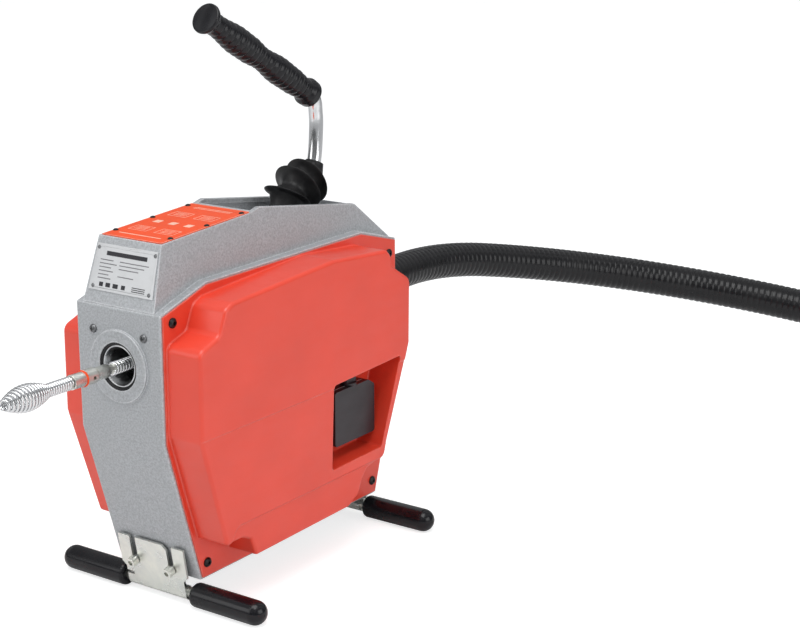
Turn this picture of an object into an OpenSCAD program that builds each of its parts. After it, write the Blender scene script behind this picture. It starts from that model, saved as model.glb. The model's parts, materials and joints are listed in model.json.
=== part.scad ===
// Sectional drain snake machine: an open cast frame closed by two plastic covers, a hollow
// belt-driven spindle with a three-jaw clutch closed by a hand lever, and a rear guide hose.
// Millimetres. The origin is the middle of the spindle mouth, in the plane of the front face.
// +Z is up, +Y runs rearwards along the spindle and +X is the switch side.

/* [Frame] */
// Height of the spindle axis above the floor
axis_h = 303; // [300:1:306]
// Half width of the cast frame ring
frame_half_w = 64.25; // [63:0.25:66]
// Overall depth of the frame from its front face to its rear face
frame_depth = 456; // [452:1:460]
// Wall thickness of the cast frame
frame_wall = 8; // [7:0.5:9]
// Height of the underside of the frame above the floor
frame_base_h = 36; // [34:1:38]

/* [Covers] */
// Distance of the switch side cover's outer face from the middle plane
right_cover_x = 116; // [112:1:120]
// Distance of the plain cover's outer face from the middle plane
left_cover_x = 97; // [94:1:104]
// Wall thickness of the moulded covers
cover_wall = 3; // [2.5:0.5:3.5]
// Depth of the switch pocket below the cover's outer face
pocket_depth = 45; // [40:1:46]

/* [Spindle and clutch] */
// Outer radius of the spindle tube
spindle_r = 24.98; // [24.96:0.01:24.99]
// Radius of the hole through the spindle
spindle_bore_r = 20; // [18:0.5:21]
// Radius of the drain spiral that the jaws are shown with
spiral_r = 8; // [8:0.5:8]
// Radial travel of each jaw from open to closed
jaw_travel = 8.5; // [7:0.5:9]
// Angle that the lever turns through when it is pressed
lever_angle = 25; // [20:1:28]
// Distance from the lever pivot down to the fork's pads
fork_arm = 40; // [36:1:42]

/* [Drive] */
// Height of the motor shaft above the floor
motor_h = 135; // [132:1:138]
// Radius of the motor's stator
motor_r = 54; // [50:1:55]
// Pitch radius of the spindle pulley
big_pulley_r = 72; // [68:1:74]
// Pitch radius of the motor pulley
small_pulley_r = 18; // [17:0.5:20]

/* [Feet] */
// Radius of the rubber foot grips
grip_r = 15; // [14:0.5:16]
// Distance from the middle plane to the tip of a foot grip
foot_reach = 159.5; // [150:0.5:165]
// Radius of the steel foot bars
bar_r = 6; // [5:0.5:7]

/* [Guide hose] */
// Outer radius of the guide hose over its ribs
hose_r = 24.8; // [24:0.2:26]
// Bore radius of the guide hose
hose_bore_r = 20; // [19:0.5:21]

/* [Hidden] */
$fn = 64;

eps = 0.01;
slide_gap = 0.05;

// Side view of the frame ring as [y, height], anticlockwise from its lower front corner
base_front_y = 54;
base_rear_y = frame_depth - 48;
front_low_h = 219;
ring_pts = [
    [base_front_y, frame_base_h], [base_rear_y, frame_base_h], [frame_depth, 198],
    [frame_depth, 378], [380, 399], [78, 395], [0, 371], [0, front_low_h]
];
// Middle plane of the feet, halfway between the front and the rear bar
mid_y = (base_front_y + base_rear_y) / 2;
// Side view of the hump that carries the deck and the lever's trough
deck_front = [24.9, 446];
deck_rear = [184, 456];
hump_pts = [
    [1.5, 372], [frame_depth, 372], [frame_depth, 379], [387, 433], [199, 460], deck_rear, deck_front
];
hump_top_half_w = 46.7;
hump_base_half_w = 54.5;
hump_wall = 6;
trough_floor_h = 418;
trough_y = [188, 388];

// Bearings, as [bore radius, outer radius, width]
bearing = [25, 44.98, 20];
ball_r = 5;
ball_count = 12;
front_bearing_y = 10;
rear_bearing_y = 420;
housing_r = 61;
nose_hole_r = 28.5;
nose_screw_pos = [38.8, 38.7];

// Clutch: axial stations along the spindle
ring_travel = fork_arm * lever_angle * PI / 180;
cone_slope = jaw_travel / ring_travel;
pivot_y = 280;
pivot_h = 398;
pad_r = 3.9;
press_y = pivot_y + 4;
press_w = 12;
thrust_ball_r = 2.5;
thrust_washer_w = 3;
thrust_w = thrust_washer_w + 2 * thrust_ball_r - 1.5;
thrust_ball_y = press_y + press_w + thrust_w - thrust_washer_w - thrust_ball_r;
cone_y = press_y + press_w + thrust_w;
cone_bore_w = 16;
cone_w = 34;
cone_lip_y = cone_y + cone_w;
head_r = 34;
jaw_w = 16;
jaw_y = cone_lip_y + slide_gap;
jaw_l = 40;
head_y = [press_y - 8, jaw_y + jaw_l + 8];
pin_r = 5;

// Pulleys and belt
belt_y = 52;
belt_w = 20;
belt_t = 4;

// Motor stations along its shaft
motor_y = 104;
motor_l = 190;
shield_t = 14;
air_gap_r = 32;
shaft_r = 8;
fan_r = 41;

// Foot geometry
bar_h = grip_r - 0.3;
bar_front_y = 56.2;
grip_inner_x = 53;
foot_screw_x = 29;
face_tilt = atan(base_front_y / (front_low_h - frame_base_h));
plate_tilt = 9.5;
bracket_t = 3;

// Hose path: a straight stretch, then two arcs, each bent about its own plane
hose_y = frame_depth + 14;
hose_straight = 105;
hose_arc_1 = [420, 22.5];
hose_arc_2 = [510, 62];
hose_roll_1 = 26;
hose_roll_2 = -21.5;

// Parts drawn by their height above the floor
module from_floor() translate([0, 0, -axis_h]) children();

// Extrudes a [y, height] outline sideways, centred on the middle plane
module side_slab(width) rotate([90, 0, 90]) linear_extrude(width, center = true) children();

// Extrudes a [y, height] outline from one x to another
module side_block(x0, x1) translate([x0, 0, 0]) rotate([90, 0, 90]) linear_extrude(x1 - x0) children();

// Round bar and tube along +Y
module bar_y(r, y0, y1) translate([0, y0, 0]) rotate([-90, 0, 0]) cylinder(h = y1 - y0, r = r);
module tube_y(r_out, r_in, y0, y1) difference() {
    bar_y(r_out, y0, y1);
    bar_y(r_in, y0 - 1, y1 + 1);
}
// Round bar along +X at a given [y, height]
module bar_x(r, x0, x1, at) translate([x0, at[0], at[1]]) rotate([0, 90, 0]) cylinder(h = x1 - x0, r = r);

// Turned part: [radius, y] outline swept round the spindle axis
module turned(pts) rotate([-90, 0, 0]) rotate_extrude() polygon(pts);

// Outline moved inwards by d, for an anticlockwise list of points
function unit(v) = v / norm(v);
function inward(a, b) = unit([a[1] - b[1], b[0] - a[0]]);
function corner_in(p, q, r, d) =
    let (n1 = inward(p, q), n2 = inward(q, r)) q + d * (n1 + n2) / (1 + n1 * n2);
function inset(pts, d) =
    let (n = len(pts)) [for (i = [0:n - 1]) corner_in(pts[(i + n - 1) % n], pts[i], pts[(i + 1) % n], d)];

// Outline with every corner replaced by an arc of radius r
function corner_arc(p, q, s, r, k = 4) =
    let (u = unit(p - q), v = unit(s - q), half = acos(max(-1, min(1, u * v))) / 2,
         reach = min(r / tan(half), 0.45 * norm(p - q), 0.45 * norm(s - q)), rad = reach * tan(half),
         mid = q + unit(u + v) * rad / sin(half), a = q + u * reach - mid, b = q + v * reach - mid,
         sweep = acos(max(-1, min(1, (a * b) / (rad * rad)))))
    [for (i = [0:k]) mid + (a * sin(sweep * (1 - i / k)) + b * sin(sweep * i / k)) / sin(sweep)];
function rounded(pts, r) =
    let (n = len(pts)) [for (i = [0:n - 1]) each corner_arc(pts[(i + n - 1) % n], pts[i],
        pts[(i + 1) % n], r)];

// Mirror image of an outline about the middle plane of the feet, kept anticlockwise
function flip_y(pts) = [for (i = [len(pts) - 1:-1:0]) [2 * mid_y - pts[i][0], pts[i][1]]];

// Coil spring along +Z: a round wire swept along a helix
// with an optional swelling that starts at the share neck of its length and tapers to r_end
module coil(r, pitch, turns, wire_r, steps = 20, sides = 8, r_end = -1, bulge = 0, neck = 0) {
    n = floor(turns * steps);
    re = r_end < 0 ? r : r_end;
    function swell(t) = max(0, (t - neck) / (1 - neck));
    function radius_at(t) = r + (re - r) * swell(t) + bulge * sin(180 * swell(t));
    pts = [for (i = [0:n]) let (t = i / n, a = 360 * i / steps, rr = radius_at(t))
        for (j = [0:sides - 1]) let (b = 360 * j / sides)
            [(rr + wire_r * cos(b)) * cos(a), (rr + wire_r * cos(b)) * sin(a),
                pitch * i / steps + wire_r * sin(b)]];
    side = [for (i = [0:n - 1]) for (j = [0:sides - 1]) let (k = (j + 1) % sides)
        each [[i * sides + j, i * sides + k, (i + 1) * sides + k],
            [i * sides + j, (i + 1) * sides + k, (i + 1) * sides + j]]];
    cap_0 = [for (j = [sides - 1:-1:0]) j];
    cap_1 = [for (j = [0:sides - 1]) n * sides + j];
    polyhedron(points = pts, faces = [for (f = concat(side, [cap_0, cap_1]))
        [for (q = [len(f) - 1:-1:0]) f[q]]]);
}

// ---------------------------------------------------------------- frame
screw_pts = [[17.9, 360.2], [63.9, 56.1], [2 * mid_y - 63.9, 56.1], [frame_depth - 17.9, 360.2]];
screw_r = 3;
screw_boss_r = 11;

module hump_section(d) rotate([90, 0, 0]) linear_extrude(2 * frame_depth, center = true) polygon([
    [-(hump_base_half_w - d), 372], [hump_base_half_w - d, 372],
    [hump_top_half_w - d, 460], [-(hump_top_half_w - d), 460]
]);

module hump_solid() intersection() {
    side_slab(2 * hump_base_half_w) polygon(hump_pts);
    hump_section(0);
}

module hump_hollow() intersection() {
    side_slab(2 * hump_base_half_w) polygon(concat([[12, 366], [frame_depth - 12, 366]],
        [for (i = [2:6]) inset(hump_pts, hump_wall)[i]]));
    union() {
        hump_section(hump_wall);
        translate([-(hump_base_half_w - hump_wall), 0, 364])
            cube([2 * (hump_base_half_w - hump_wall), frame_depth, 9]);
    }
}

module pivot_lug(side) translate([side * 31 - 3, 0, 0]) rotate([90, 0, 90]) linear_extrude(6) polygon([
    [pivot_y - 14, trough_floor_h + 1], [pivot_y - 9, pivot_h - 9], [pivot_y + 9, pivot_h - 9],
    [pivot_y + 14, trough_floor_h + 1]
]);

module frame_casting() color([0.56, 0.58, 0.60]) from_floor() difference() {
    union() {
        difference() {
            union() {
                side_slab(2 * frame_half_w) polygon(ring_pts);
                hump_solid();
            }
            side_slab(2 * frame_half_w + 2) polygon(inset(ring_pts, frame_wall));
            hump_hollow();
            translate([-(hump_top_half_w - hump_wall), trough_y[0], trough_floor_h + 4])
                cube([2 * (hump_top_half_w - hump_wall), trough_y[1] - trough_y[0], 60]);
        }
        intersection() {
            translate([-60, trough_y[0] - 3, trough_floor_h])
                cube([120, trough_y[1] - trough_y[0] + 20, 4]);
            hump_solid();
        }
        intersection() {
            translate([-60, trough_y[0] - 4, trough_floor_h]) cube([120, 4, 60]);
            hump_solid();
        }
        for (side = [-1, 1]) pivot_lug(side);
        for (side = [-1, 1]) for (p = screw_pts)
            bar_x(screw_boss_r, side > 0 ? frame_half_w - 20 : -frame_half_w,
                side > 0 ? frame_half_w : -frame_half_w + 20, p);
        translate([0, 0, axis_h]) {
            bar_y(43, -3.5, 1);
            bar_y(housing_r, 6, front_bearing_y + bearing[2] + 2);
            bar_y(housing_r - 6, rear_bearing_y - 4, frame_depth - 4);
        }
    }
    translate([0, 0, axis_h]) {
        bar_y(nose_hole_r, -10, 20);
        bar_y(bearing[1] + 0.02, front_bearing_y - 1, front_bearing_y + bearing[2] + 3);
        bar_y(spindle_r + 3, 400, frame_depth + 5);
        bar_y(bearing[1] + 0.02, rear_bearing_y - 5, rear_bearing_y + bearing[2]);
        for (side = [-1, 1]) translate([side * nose_screw_pos[0], 0, nose_screw_pos[1]]) bar_y(2.6, -1, 40);
        for (a = [45:90:315]) rotate([0, a, 0]) translate([adapter_bolt_r, 0, 0])
            bar_y(2.6, frame_depth - 7, frame_depth + 1);
    }
    for (side = [-1, 1]) for (p = screw_pts)
        bar_x(screw_r + 0.05, side > 0 ? frame_half_w - 16 : -frame_half_w - 1,
            side > 0 ? frame_half_w + 1 : -frame_half_w + 16, p);
    bar_x(pin_r + 0.02, -40, 40, [pivot_y, pivot_h]);
    translate([-16, pivot_y - 20, trough_floor_h - 1]) cube([32, 72, 6]);
    for (rear = [0, 1]) at_foot_face(rear) for (side = [-1, 1])
        translate([side * foot_screw_x, 0, foot_screw_up]) rotate([90, 0, 0]) translate([0, 0, -12])
            cylinder(h = 13, r = 4.02);
    on_gland() translate([0, 0, -20]) cylinder(h = 22, r = gland_r + 0.02);
    for (x = name_rivet_x) for (z = name_rivet_z) on_lean() translate([x, 0, z]) rotate([90, 0, 0])
        translate([0, 0, -4]) cylinder(h = 5, r = 1.52);
    for (x = [-1, 1]) for (y = label_rivet_y) on_deck() translate([x * label_rivet_x, y, -4])
        cylinder(h = 5, r = 2.02);
}

// ---------------------------------------------------------------- covers
// Outlines of a cover as [y, height], anticlockwise: its raised block, and the skirt a step below it
block_pts = [
    [49, 91], [60, 91], [69, 108], [364, 108], [370, 131], [416, 253], [417, 338], [377, 362],
    [375, 376], [366, 385], [255, 393], [66, 381], [53, 375], [41, 347], [7, 335], [6, 229]
];
skirt_pts = [
    [57, 91], [80, 91], [95, 85], [105, 60], [290, 62], [311, 72], [319, 91], [329, 103], [360, 109],
    [360, 126], [57, 126]
];
pocket_pts = [[251, 124], [357, 125.5], [396, 239.5], [253, 234.5]];
flange_t = 2;
flange_x = frame_half_w + flange_t;
skirt_step = 2.5;
block_corner_r = 12;
skirt_corner_r = 6;

// One cover on the +X side, with its outer face at x_out
module cover_tier(x_out, pts, r) side_block(frame_half_w, x_out) polygon(rounded(pts, r));
module cover_hollow(x_out, pts, r) side_block(frame_half_w - 1, x_out - cover_wall)
    polygon(rounded(inset(pts, cover_wall), r - cover_wall));
module cover_shell(x_out) difference() {
    union() {
        side_block(frame_half_w, flange_x) polygon(inset(ring_pts, 3));
        cover_tier(x_out, block_pts, block_corner_r);
        cover_tier(x_out - skirt_step, skirt_pts, skirt_corner_r);
    }
    cover_hollow(x_out, block_pts, block_corner_r);
    cover_hollow(x_out - skirt_step, skirt_pts, skirt_corner_r);
    for (p = screw_pts) bar_x(screw_r + 0.3, frame_half_w - 1, flange_x + 1, p);
}

module right_cover() color([0.88, 0.25, 0.17]) from_floor() difference() {
    union() {
        cover_shell(right_cover_x);
        side_block(right_cover_x - pocket_depth - cover_wall, right_cover_x - 1)
            polygon(rounded(inset(pocket_pts, -cover_wall), 5));
    }
    side_block(right_cover_x - pocket_depth, right_cover_x + 1) polygon(rounded(pocket_pts, 4));
    for (y = [switch_y[0] + 12, switch_y[1] - 12])
        bar_x(2.1, right_cover_x - pocket_depth - cover_wall - 1, right_cover_x - pocket_depth + 1,
            [y, (switch_h[0] + switch_h[1]) / 2]);
}

vent_y = [130:14:270];
module left_cover() color([0.88, 0.25, 0.17]) from_floor() difference() {
    mirror([1, 0, 0]) cover_shell(left_cover_x);
    for (y = vent_y) translate([-left_cover_x - 1, y, 140]) cube([cover_wall + 2, 6, 54]);
}

module cover_screws() color([0.12, 0.12, 0.13]) from_floor() for (side = [0, 1]) mirror([side, 0, 0])
    for (p = screw_pts)
    difference() {
        union() {
            bar_x(screw_r, frame_half_w - 15, flange_x, p);
            translate([flange_x, p[0], p[1]]) rotate([0, 90, 0]) rotate_extrude()
                polygon([[0, 0], [6, 0], [6, 1.2], [4.6, 2.8], [3, 3.5], [0, 3.7]]);
        }
        translate([flange_x + 1.6, p[0], p[1]]) rotate([0, 90, 0]) cylinder(h = 5, r = 2.3, $fn = 6);
    }

// ---------------------------------------------------------------- plates
deck_tilt = atan((deck_rear[1] - deck_front[1]) / (deck_rear[0] - deck_front[0]));
lean_tilt = atan((deck_front[0] - 1.5) / (deck_front[1] - 372));
label_rivet_x = 42;
label_rivet_y = [21.5, 84, 146.5];
name_rivet_x = [-43, 43];
name_rivet_z = [19.5, 64];
plate_t = 1;

// Local frames: y along the deck with z off it, and z up the leaning face with -y off it
module on_deck() translate([0, deck_front[0], deck_front[1]]) rotate([deck_tilt, 0, 0]) children();
module on_lean() translate([0, 1.5, 372]) rotate([-lean_tilt, 0, 0]) children();

module label_plate() color([0.93, 0.36, 0.16]) from_floor() on_deck() difference() {
    translate([-46, 1.5, eps]) linear_extrude(plate_t)
        polygon(rounded([[0, 0], [92, 0], [92, 156], [0, 156]], 3));
    for (x = [-1, 1]) for (y = label_rivet_y) translate([x * label_rivet_x, y, -1])
        cylinder(h = 4, r = 2.1);
}

module label_rivets() color([0.2, 0.2, 0.2]) from_floor() on_deck() for (x = [-1, 1])
    for (y = label_rivet_y)
    translate([x * label_rivet_x, y, 0]) {
        translate([0, 0, -3.5]) cylinder(h = 4.6, r = 2);
        translate([0, 0, plate_t + 2 * eps]) rotate_extrude()
            polygon([[0, 0], [3.4, 0], [2.9, 1], [1.6, 1.7], [0, 1.9]]);
    }

module name_plate() color([0.80, 0.81, 0.82]) from_floor() on_lean() difference() {
    translate([0, -eps, 0]) rotate([90, 0, 0]) linear_extrude(plate_t)
        polygon([[-49.5, 15], [49.5, 15], [46, 69], [-46, 69]]);
    for (x = name_rivet_x) for (z = name_rivet_z) translate([x, 2, z]) rotate([90, 0, 0])
        cylinder(h = 5, r = 1.6);
}

module name_plate_rivets() color([0.7, 0.7, 0.7]) from_floor() on_lean() for (x = name_rivet_x)
    for (z = name_rivet_z)
    translate([x, 0, z]) rotate([90, 0, 0]) {
        translate([0, 0, -3.5]) cylinder(h = 4.6, r = 1.5);
        translate([0, 0, plate_t + 2 * eps]) rotate_extrude()
            polygon([[0, 0], [2.4, 0], [1.8, 0.8], [0, 1.2]]);
    }

// ---------------------------------------------------------------- nose and bearings
module nose_seal() color([0.06, 0.06, 0.06]) turned([
    [spindle_r + 0.3, -1.5], [nose_hole_r - 0.05, -2.5], [nose_hole_r - 0.05, 7], [spindle_r + 0.3, 7]
]);

module nose_screws() color([0.78, 0.78, 0.76]) for (side = [-1, 1])
    translate([side * nose_screw_pos[0], 0, nose_screw_pos[1]])
    difference() {
        union() {
            bar_y(2.5, -1, front_bearing_y + bearing[2] + 6);
            turned([[0, -3.4], [2.4, -3.3], [4.2, -2.4], [5, -0.8], [5, -eps], [0, -eps]]);
        }
        for (a = [0, 90]) rotate([0, a, 0]) translate([-0.6, -4, -3]) cube([1.2, 2.6, 6]);
    }

module bearing_retainer() color([0.62, 0.62, 0.6]) difference() {
    tube_y(housing_r, 40, front_bearing_y + bearing[2] + 2 + eps, front_bearing_y + bearing[2] + 5);
    for (side = [-1, 1]) translate([side * nose_screw_pos[0], 0, nose_screw_pos[1]]) bar_y(2.6, 20, 50);
}

ball_pitch_r = (bearing[0] + bearing[1]) / 2;
module race(r0, r1, y0) rotate([-90, 0, 0]) rotate_extrude() difference() {
    translate([r0, y0]) square([r1 - r0, bearing[2]]);
    translate([ball_pitch_r, y0 + bearing[2] / 2]) circle(r = ball_r + 0.03);
}
module outer_race(y0) race(ball_pitch_r + 2.5, bearing[1], y0);
module inner_race(y0) race(bearing[0], ball_pitch_r - 2.5, y0);
module balls(y0) for (i = [0:ball_count - 1]) rotate([0, i * 360 / ball_count, 0])
    translate([ball_pitch_r, y0 + bearing[2] / 2, 0]) sphere(r = ball_r);

module front_bearing_outer() color("silver") outer_race(front_bearing_y);
module front_bearing_inner() color("silver") inner_race(front_bearing_y);
module front_bearing_balls() color("gainsboro") balls(front_bearing_y);
module rear_bearing_outer() color("silver") outer_race(rear_bearing_y - eps);
module rear_bearing_inner() color("silver") inner_race(rear_bearing_y - eps);
module rear_bearing_balls() color("gainsboro") balls(rear_bearing_y - eps);

// ---------------------------------------------------------------- spindle and clutch
jaw_angles = [90, 210, 330];

// The spindle's mouth flares to this radius at its front edge
mouth_r = 23.2;
module spindle() color([0.72, 0.73, 0.74]) difference() {
    turned([
        [spindle_bore_r, 9], [mouth_r, -1], [spindle_r - 0.5, -1], [spindle_r, -0.5],
            [spindle_r, head_y[0]],
        [head_r, head_y[0]], [head_r, head_y[1]], [spindle_r, head_y[1]], [spindle_r, 446],
        [spindle_bore_r, 446]
    ]);
    for (a = jaw_angles) rotate([0, -a, 0]) translate([10, jaw_y - slide_gap, -jaw_w / 2 - slide_gap])
        cube([40, jaw_l + 2 * slide_gap, jaw_w + 2 * slide_gap]);
}

// A jaw is shaped in its closed place, so its outer ramp matches the cone, then drawn open
jaw_ramp_l = cone_w - cone_bore_w;
jaw_root_r = head_r + 0.05 - 0.06;
jaw_tail_r = jaw_root_r + jaw_ramp_l * cone_slope;
module jaw(a) rotate([0, -a, 0]) translate([jaw_travel, 0, 0]) difference() {
    intersection() {
        translate([5.4, jaw_y, -jaw_w / 2]) cube([60, jaw_l, jaw_w]);
        turned([
            [0, jaw_y - 1], [jaw_root_r - cone_slope, jaw_y - 1],
            [jaw_root_r + (jaw_ramp_l + jaw_lead) * cone_slope, jaw_y + jaw_ramp_l + jaw_lead],
            [jaw_root_r + (jaw_ramp_l + jaw_lead) * cone_slope, jaw_y + jaw_l + 1], [0, jaw_y + jaw_l + 1]
        ]);
    }
    bar_y(spiral_r + 0.05, jaw_y - 2, jaw_y + jaw_l + 2);
}
// Axial distance between the jaws' front faces and the start of the pressed cone
jaw_lead = jaw_y - (cone_y + cone_bore_w + ring_travel);
module jaw_1() color([0.5, 0.5, 0.52]) jaw(jaw_angles[0]);
module jaw_2() color([0.5, 0.5, 0.52]) jaw(jaw_angles[1]);
module jaw_3() color([0.5, 0.5, 0.52]) jaw(jaw_angles[2]);

module cone_ring() color([0.6, 0.6, 0.62]) turned([
    [head_r + 0.05, cone_y + eps], [46, cone_y + eps], [50, cone_y + 4], [50, cone_lip_y],
    [head_r + 0.05 + jaw_ramp_l * cone_slope, cone_lip_y], [head_r + 0.05, cone_y + cone_bore_w]
]);

thrust_pitch_r = 42;
module thrust_bearing() color("silver") {
    tube_y(48, head_r + 1, cone_y - thrust_washer_w, cone_y);
    for (i = [0:17]) rotate([0, i * 20, 0])
        translate([thrust_pitch_r, thrust_ball_y + eps, 0]) sphere(r = thrust_ball_r);
}

module pressure_ring() color([0.45, 0.46, 0.48]) difference() {
    union() {
        bar_y(52, press_y, press_y + press_w);
        translate([-34, press_y, 30]) cube([68, press_w, 32]);
    }
    bar_y(head_r + 1, press_y - 1, press_y + press_w + 1);
    rotate([-90, 0, 0]) rotate_extrude() translate([thrust_pitch_r, thrust_ball_y])
        circle(r = thrust_ball_r + slide_gap);
}

// ---------------------------------------------------------------- lever
fork_pad_x = 22;
module lever_fork() color([0.40, 0.41, 0.43]) from_floor() difference() {
    union() {
        bar_x(11, -27, 27, [pivot_y, pivot_h]);
        for (side = [-1, 1]) translate([side * fork_pad_x - 4, 0, 0]) {
            rotate([90, 0, 90]) linear_extrude(8)
                polygon([
                    [pivot_y - 10, pivot_h], [pivot_y - pad_r, pivot_h - fork_arm],
                        [pivot_y + pad_r, pivot_h - fork_arm],
                    [pivot_y + pad_r, pivot_h]]);
            bar_x(pad_r, 0, 8, [pivot_y, pivot_h - fork_arm]);
        }
        lever_segment([pivot_y, pivot_h], [pivot_y, pivot_h] + rod_dir * 20, 12);
    }
    bar_x(pin_r + slide_gap, -30, 30, [pivot_y, pivot_h]);
    lever_segment(rod_pts[0], rod_pts[1], rod_r + eps);
    for (side = [-1, 1]) translate([side > 0 ? 12 : -17, 0, 0]) difference() {
        bar_x(14, 0, 5, [pivot_y, pivot_h]);
        bar_x(8, -1, 6, [pivot_y, pivot_h]);
    }
}

// Length of rod inside the grip
rod_in_grip = 150;
// Rod centreline as [y, height] in the middle plane
rod_r = 9;
rod_dir = unit([304, 440] - [pivot_y, pivot_h]);
rod_pts = [
    [pivot_y, pivot_h] + rod_dir * 9, [304, 440], [356, 467], [367, 488], [372, 548]
];
rod_end = [364, 571];
// The ball that fills each bend of the rod is this much larger than the rod
joint_ball = 0.8;
grip_top = [170, 680];
grip_dir = unit(grip_top - rod_end);
module lever_segment(a, b, r) translate([0, a[0], a[1]]) rotate([-atan2(b[0] - a[0], b[1] - a[1]), 0, 0])
    cylinder(h = norm(b - a), r = r);
module lever_rod() color([0.86, 0.86, 0.87]) from_floor() {
    path = concat(rod_pts, [rod_end, rod_end + grip_dir * rod_in_grip]);
    for (i = [0:len(path) - 2]) lever_segment(path[i], path[i + 1], rod_r);
    for (i = [1:len(path) - 2]) translate([0, path[i][0], path[i][1]]) sphere(r = rod_r + joint_ball);
}

// Grip profile: two swells between a collar and a flared end, as [radius, distance]
grip_l = norm(grip_top - rod_end);
grip_profile = [
    [0, grip_l], [15, grip_l], [17.5, grip_l - 3], [17.5, grip_l - 7], [14.5, grip_l - 11],
    [16.5, grip_l - 45], [18, grip_l - 75], [15, grip_l - 112], [17.5, grip_l - 150],
    [16.5, grip_l - 180], [15.5, 14], [17, 10], [17, 4], [14, 0]
];
module on_grip() translate([0, rod_end[0], rod_end[1]]) rotate([-atan2(grip_dir[0], grip_dir[1]), 0, 0])
    children();
module lever_grip() color([0.07, 0.07, 0.08]) from_floor() difference() {
    on_grip() rotate_extrude() polygon(concat(grip_profile, [[0, 0]]));
    on_grip() cylinder(h = rod_in_grip + slide_gap, r = rod_r + 0.02);
    on_grip() sphere(r = rod_r + joint_ball + 0.02);
    lever_segment(rod_pts[len(rod_pts) - 1], rod_end, rod_r + 0.02);
}

module pivot_pin() color("silver") from_floor() {
    bar_x(pin_r, -36, 36, [pivot_y, pivot_h]);
    for (side = [-1, 1]) bar_x(7, side > 0 ? 34.05 : -37, side > 0 ? 37 : -34.05, [pivot_y, pivot_h]);
}

// Two coils of the return spring, one in each groove of the lever's hub
module lever_spring() color([0.3, 0.3, 0.32]) from_floor() for (side = [-1, 1])
    translate([side > 0 ? 12.9 : -16.1, pivot_y, pivot_h]) rotate([0, 90, 0]) coil(9.6, 1.6, 2, 0.7, 24, 8);

// Bellows: a base collar and three folds round a leaning sleeve
bellows_base = [298, trough_floor_h + 4.05];
sleeve_from = [298, 433.5];
sleeve_to = [358, 472];
sleeve_run = sleeve_to - sleeve_from;
sleeve_bore = 13;
sleeve_r = 18.5;
fold_r = 30;
fold_t = 5;
fold_at = [27, 48, 66];
module bellows() color([0.05, 0.05, 0.05]) from_floor() difference() {
    union() {
        translate([0, bellows_base[0], bellows_base[1]]) cylinder(h = 17, r = 25);
        lever_segment(sleeve_from, sleeve_to, sleeve_r);
        for (s = fold_at) let (at = sleeve_from + unit(sleeve_run) * s)
            lever_segment(at, at + unit(sleeve_run) * fold_t, fold_r);
    }
    lever_segment(sleeve_from - sleeve_run * 0.1, sleeve_to + sleeve_run * 0.2, sleeve_bore);
    translate([0, bellows_base[0], bellows_base[1] - 15]) cylinder(h = 29, r = 17);
}
module bellows_clamp() color([0.15, 0.15, 0.16]) from_floor()
    translate([0, bellows_base[0], bellows_base[1]]) difference() {
        cylinder(h = 5, r = 30);
        translate([0, 0, -1]) cylinder(h = 7, r = 25.05);
    }

// ---------------------------------------------------------------- motor and belt
module on_motor() translate([0, 0, motor_h - axis_h]) children();
motor_bolt_r = 45;
motor_bolt_angles = [45, 135, 225, 315];

module motor_bolt_holes(r, y0, y1) for (a = motor_bolt_angles) rotate([0, a, 0])
    translate([motor_bolt_r, 0, 0]) bar_y(r, y0, y1);

module motor_housing() color([0.35, 0.37, 0.40]) on_motor() difference() {
    tube_y(motor_r, air_gap_r, motor_y, motor_y + motor_l - 30);
    motor_bolt_holes(2.6, motor_y - 1, motor_y + motor_l);
}
module motor_front_shield() color([0.6, 0.6, 0.6]) on_motor() difference() {
    tube_y(motor_r, shaft_r + slide_gap, motor_y - shield_t, motor_y - eps);
    bar_y(28, motor_y - 5, motor_y + 1);
    motor_bolt_holes(2.6, motor_y - 20, motor_y + 1);
}
module motor_rear_shield() color([0.6, 0.6, 0.6]) on_motor() difference() {
    tube_y(motor_r, shaft_r + slide_gap, motor_y + motor_l - 30 + eps, motor_y + motor_l);
    bar_y(48, motor_y + motor_l - 20, motor_y + motor_l - 4);
    bar_y(28, motor_y + motor_l - 31, motor_y + motor_l - 25);
    motor_bolt_holes(2.6, motor_y, motor_y + motor_l + 1);
}
module motor_bolts() color([0.25, 0.25, 0.25]) on_motor() for (a = motor_bolt_angles) rotate([0, a, 0])
    translate([motor_bolt_r, 0, 0]) {
    bar_y(2.5, motor_y - shield_t - 1, motor_y + motor_l - 6);
    bar_y(4.5, motor_y - shield_t - 4, motor_y - shield_t - eps);
}
module motor_mount() color([0.30, 0.31, 0.33]) from_floor() difference() {
    union() {
        translate([-44, motor_y + 10, frame_base_h + frame_wall + eps]) cube([88, 130, 6]);
        for (y = [motor_y + 16, motor_y + 120]) translate([-44, y, frame_base_h + frame_wall])
            cube([88, 12, 50]);
    }
    translate([0, 0, motor_h]) bar_y(motor_r + eps, 0, 400);
}
module rotor() color([0.5, 0.45, 0.4]) on_motor() {
    bar_y(shaft_r, belt_y - 3, motor_y + motor_l - 2);
    bar_y(air_gap_r - 0.6, motor_y + 14, motor_y + motor_l - 46);
}
module motor_fan() color([0.15, 0.15, 0.16]) on_motor() difference() {
    union() {
        tube_y(14, shaft_r + 0.02, motor_y + motor_l - 19, motor_y + motor_l - 5);
        tube_y(fan_r, shaft_r + 0.02, motor_y + motor_l - 19, motor_y + motor_l - 17);
        for (a = [0:40:320]) rotate([0, a, 0])
            translate([12, motor_y + motor_l - 18, -1]) cube([fan_r - 13, 12, 2]);
    }
    bar_y(shaft_r + 0.02, 0, 400);
}

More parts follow.
